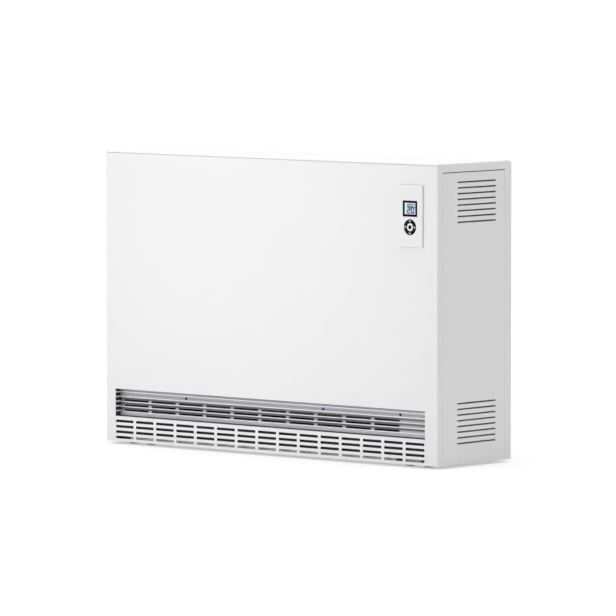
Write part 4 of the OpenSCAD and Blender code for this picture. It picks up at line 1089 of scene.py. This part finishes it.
blade_reach = 7 * mm
blade_half = 3.15 * mm
blade_thick = 0.8 * mm
cutout_inset = in_mm(9.6, 12)
relay_inset = in_mm(13, 14)
blades = bmesh.new()
low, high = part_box("thermal_cutouts")
x = low[0] + cutout_inset[0]
for z in (low[2] + cutout_inset[1], high[2] - cutout_inset[1]):
    for y in ((low[1] - blade_reach, low[1]), (high[1], high[1] + blade_reach)):
        slab(blades, (x, x + blade_thick), y, (z - blade_half, z + blade_half))
low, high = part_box("power_relay")
for x in (low[0] + relay_inset[0], high[0] - relay_inset[0]):
    for z in (low[2] + relay_inset[1], high[2] - relay_inset[1]):
        slab(blades, (x - blade_half, x + blade_half), (low[1] - blade_reach, low[1]),
            (z - blade_thick / 2, z + blade_thick / 2))
fit(worked(blades, "blade_terminals", bright_zinc, 0.12), "casing", "zinc_sheet")

signal_red = Finish("signal red moulding", (200.0, 2), (0.42, 0.03, 0.025),
    (0.5, 0.045, 0.035), (500.0, 2), 0.3, 0.42)
remade("reset_button", "reset_button_red", signal_red, 0.5, "reset_key", "red_plastic", 3)

bush_rubber = Finish("bush rubber", (180.0, 4), (0.018, 0.018, 0.018), (0.035, 0.035, 0.036),
    (300.0, 3), 0.6, 0.8, IOR=1.45)
bush_rubber.grit(900.0, 3, 0.00006, 0.5)
remade("cable_grommet", "cable_bush", bush_rubber, 0.5, "casing", "grommet_rubber", 3)


# The floor. A plain pale floor that runs on out of sight and keeps the heater's soft
# shadow; for the camera it is a little brighter, so that it meets the background.
floor_shape = bmesh.new()
reach = 90
for x0, x1 in ((-reach, 0), (0, reach)):
    for y0, y1 in ((-reach, 0), (0, reach)):
        floor_shape.faces.new([floor_shape.verts.new(p) for p in (
            (x0, y0, 0), (x1, y0, 0), (x1, y1, 0), (x0, y1, 0))])
pale_floor = Finish("pale floor", Roughness=0.9, Specular_IOR_Level=0.1)
pale_floor.tone(pale_floor.grain(2.0, 3), (0.3, (0.8, 0.8, 0.8)), (0.7, (0.81, 0.81, 0.81)))
seen = pale_floor.add("LightPath").outputs["Is Camera Ray"]
lift = pale_floor.add("Math", {0: seen, 1: 0.5}, operation="MULTIPLY")
pale_floor.shader.inputs["Emission Color"].default_value = (1, 1, 1, 1)
pale_floor.links.new(lift.outputs["Value"], pale_floor.shader.inputs["Emission Strength"])
bounced = pale_floor.shader.inputs["Base Color"].links[0].from_socket
shown = pale_floor.add("Mix", {"Factor": seen}, data_type="RGBA")
pale_floor.links.new(bounced, shown.inputs["A"])
shown.inputs["B"].default_value = (0.5, 0.5, 0.5, 1)
pale_floor.links.new(shown.outputs["Result"], pale_floor.shader.inputs["Base Color"])
floor = close_up(floor_shape, "floor", pale_floor)


# The light. A wide soft sky, a broad lamp overhead, a faint one from the right and
# an upright panel of light ahead; camera, gloss and glass rays see plain white.
world = bpy.data.worlds.new("studio")
bpy.context.scene.world = world
world.use_nodes = True
sky, wires = world.node_tree.nodes, world.node_tree.links
rays = sky.new("ShaderNodeLightPath").outputs
plain = rays["Is Camera Ray"]
for kind in ("Is Transmission Ray", "Is Glossy Ray"):
    either = sky.new("ShaderNodeMath")
    either.operation = "MAXIMUM"
    wires.new(plain, either.inputs[0])
    wires.new(rays[kind], either.inputs[1])
    plain = either.outputs["Value"]
strength = sky.new("ShaderNodeMapRange")
strength.inputs["To Min"].default_value = 0.35
strength.inputs["To Max"].default_value = 1.0
wires.new(plain, strength.inputs["Value"])
sky["Background"].inputs["Color"].default_value = (1, 1, 1, 1)
wires.new(strength.outputs["Result"], sky["Background"].inputs["Strength"])


def broad_lamp(name, power, spread, towards):
    lamp = bpy.data.lights.new(name, "SUN")
    lamp.energy = power
    lamp.angle = math.radians(spread)
    holder = placed(name, lamp)
    holder.rotation_euler = (-Vector(towards)).to_track_quat("-Z", "Y").to_euler()


def tall_lamp(name, power, size, place):
    """An upright panel of light that faces the heater's front."""
    lamp = bpy.data.lights.new(name, "AREA")
    lamp.shape = "RECTANGLE"
    lamp.size, lamp.size_y = size
    lamp.energy = power
    holder = placed(name, lamp)
    holder.location = place
    holder.rotation_euler = (math.pi / 2, 0, 0)
    holder.visible_glossy = False


broad_lamp("high lamp", 2.06, 70, (0.0, 0.0, 1.0))
broad_lamp("side lamp", 0.12, 60, (1.0, -0.1, 0.2))
tall_lamp("front lamp", 9.4, (0.6, 2.2), (-0.16, -1.4, 0.5))

bpy.context.scene.view_settings.view_transform = "Standard"
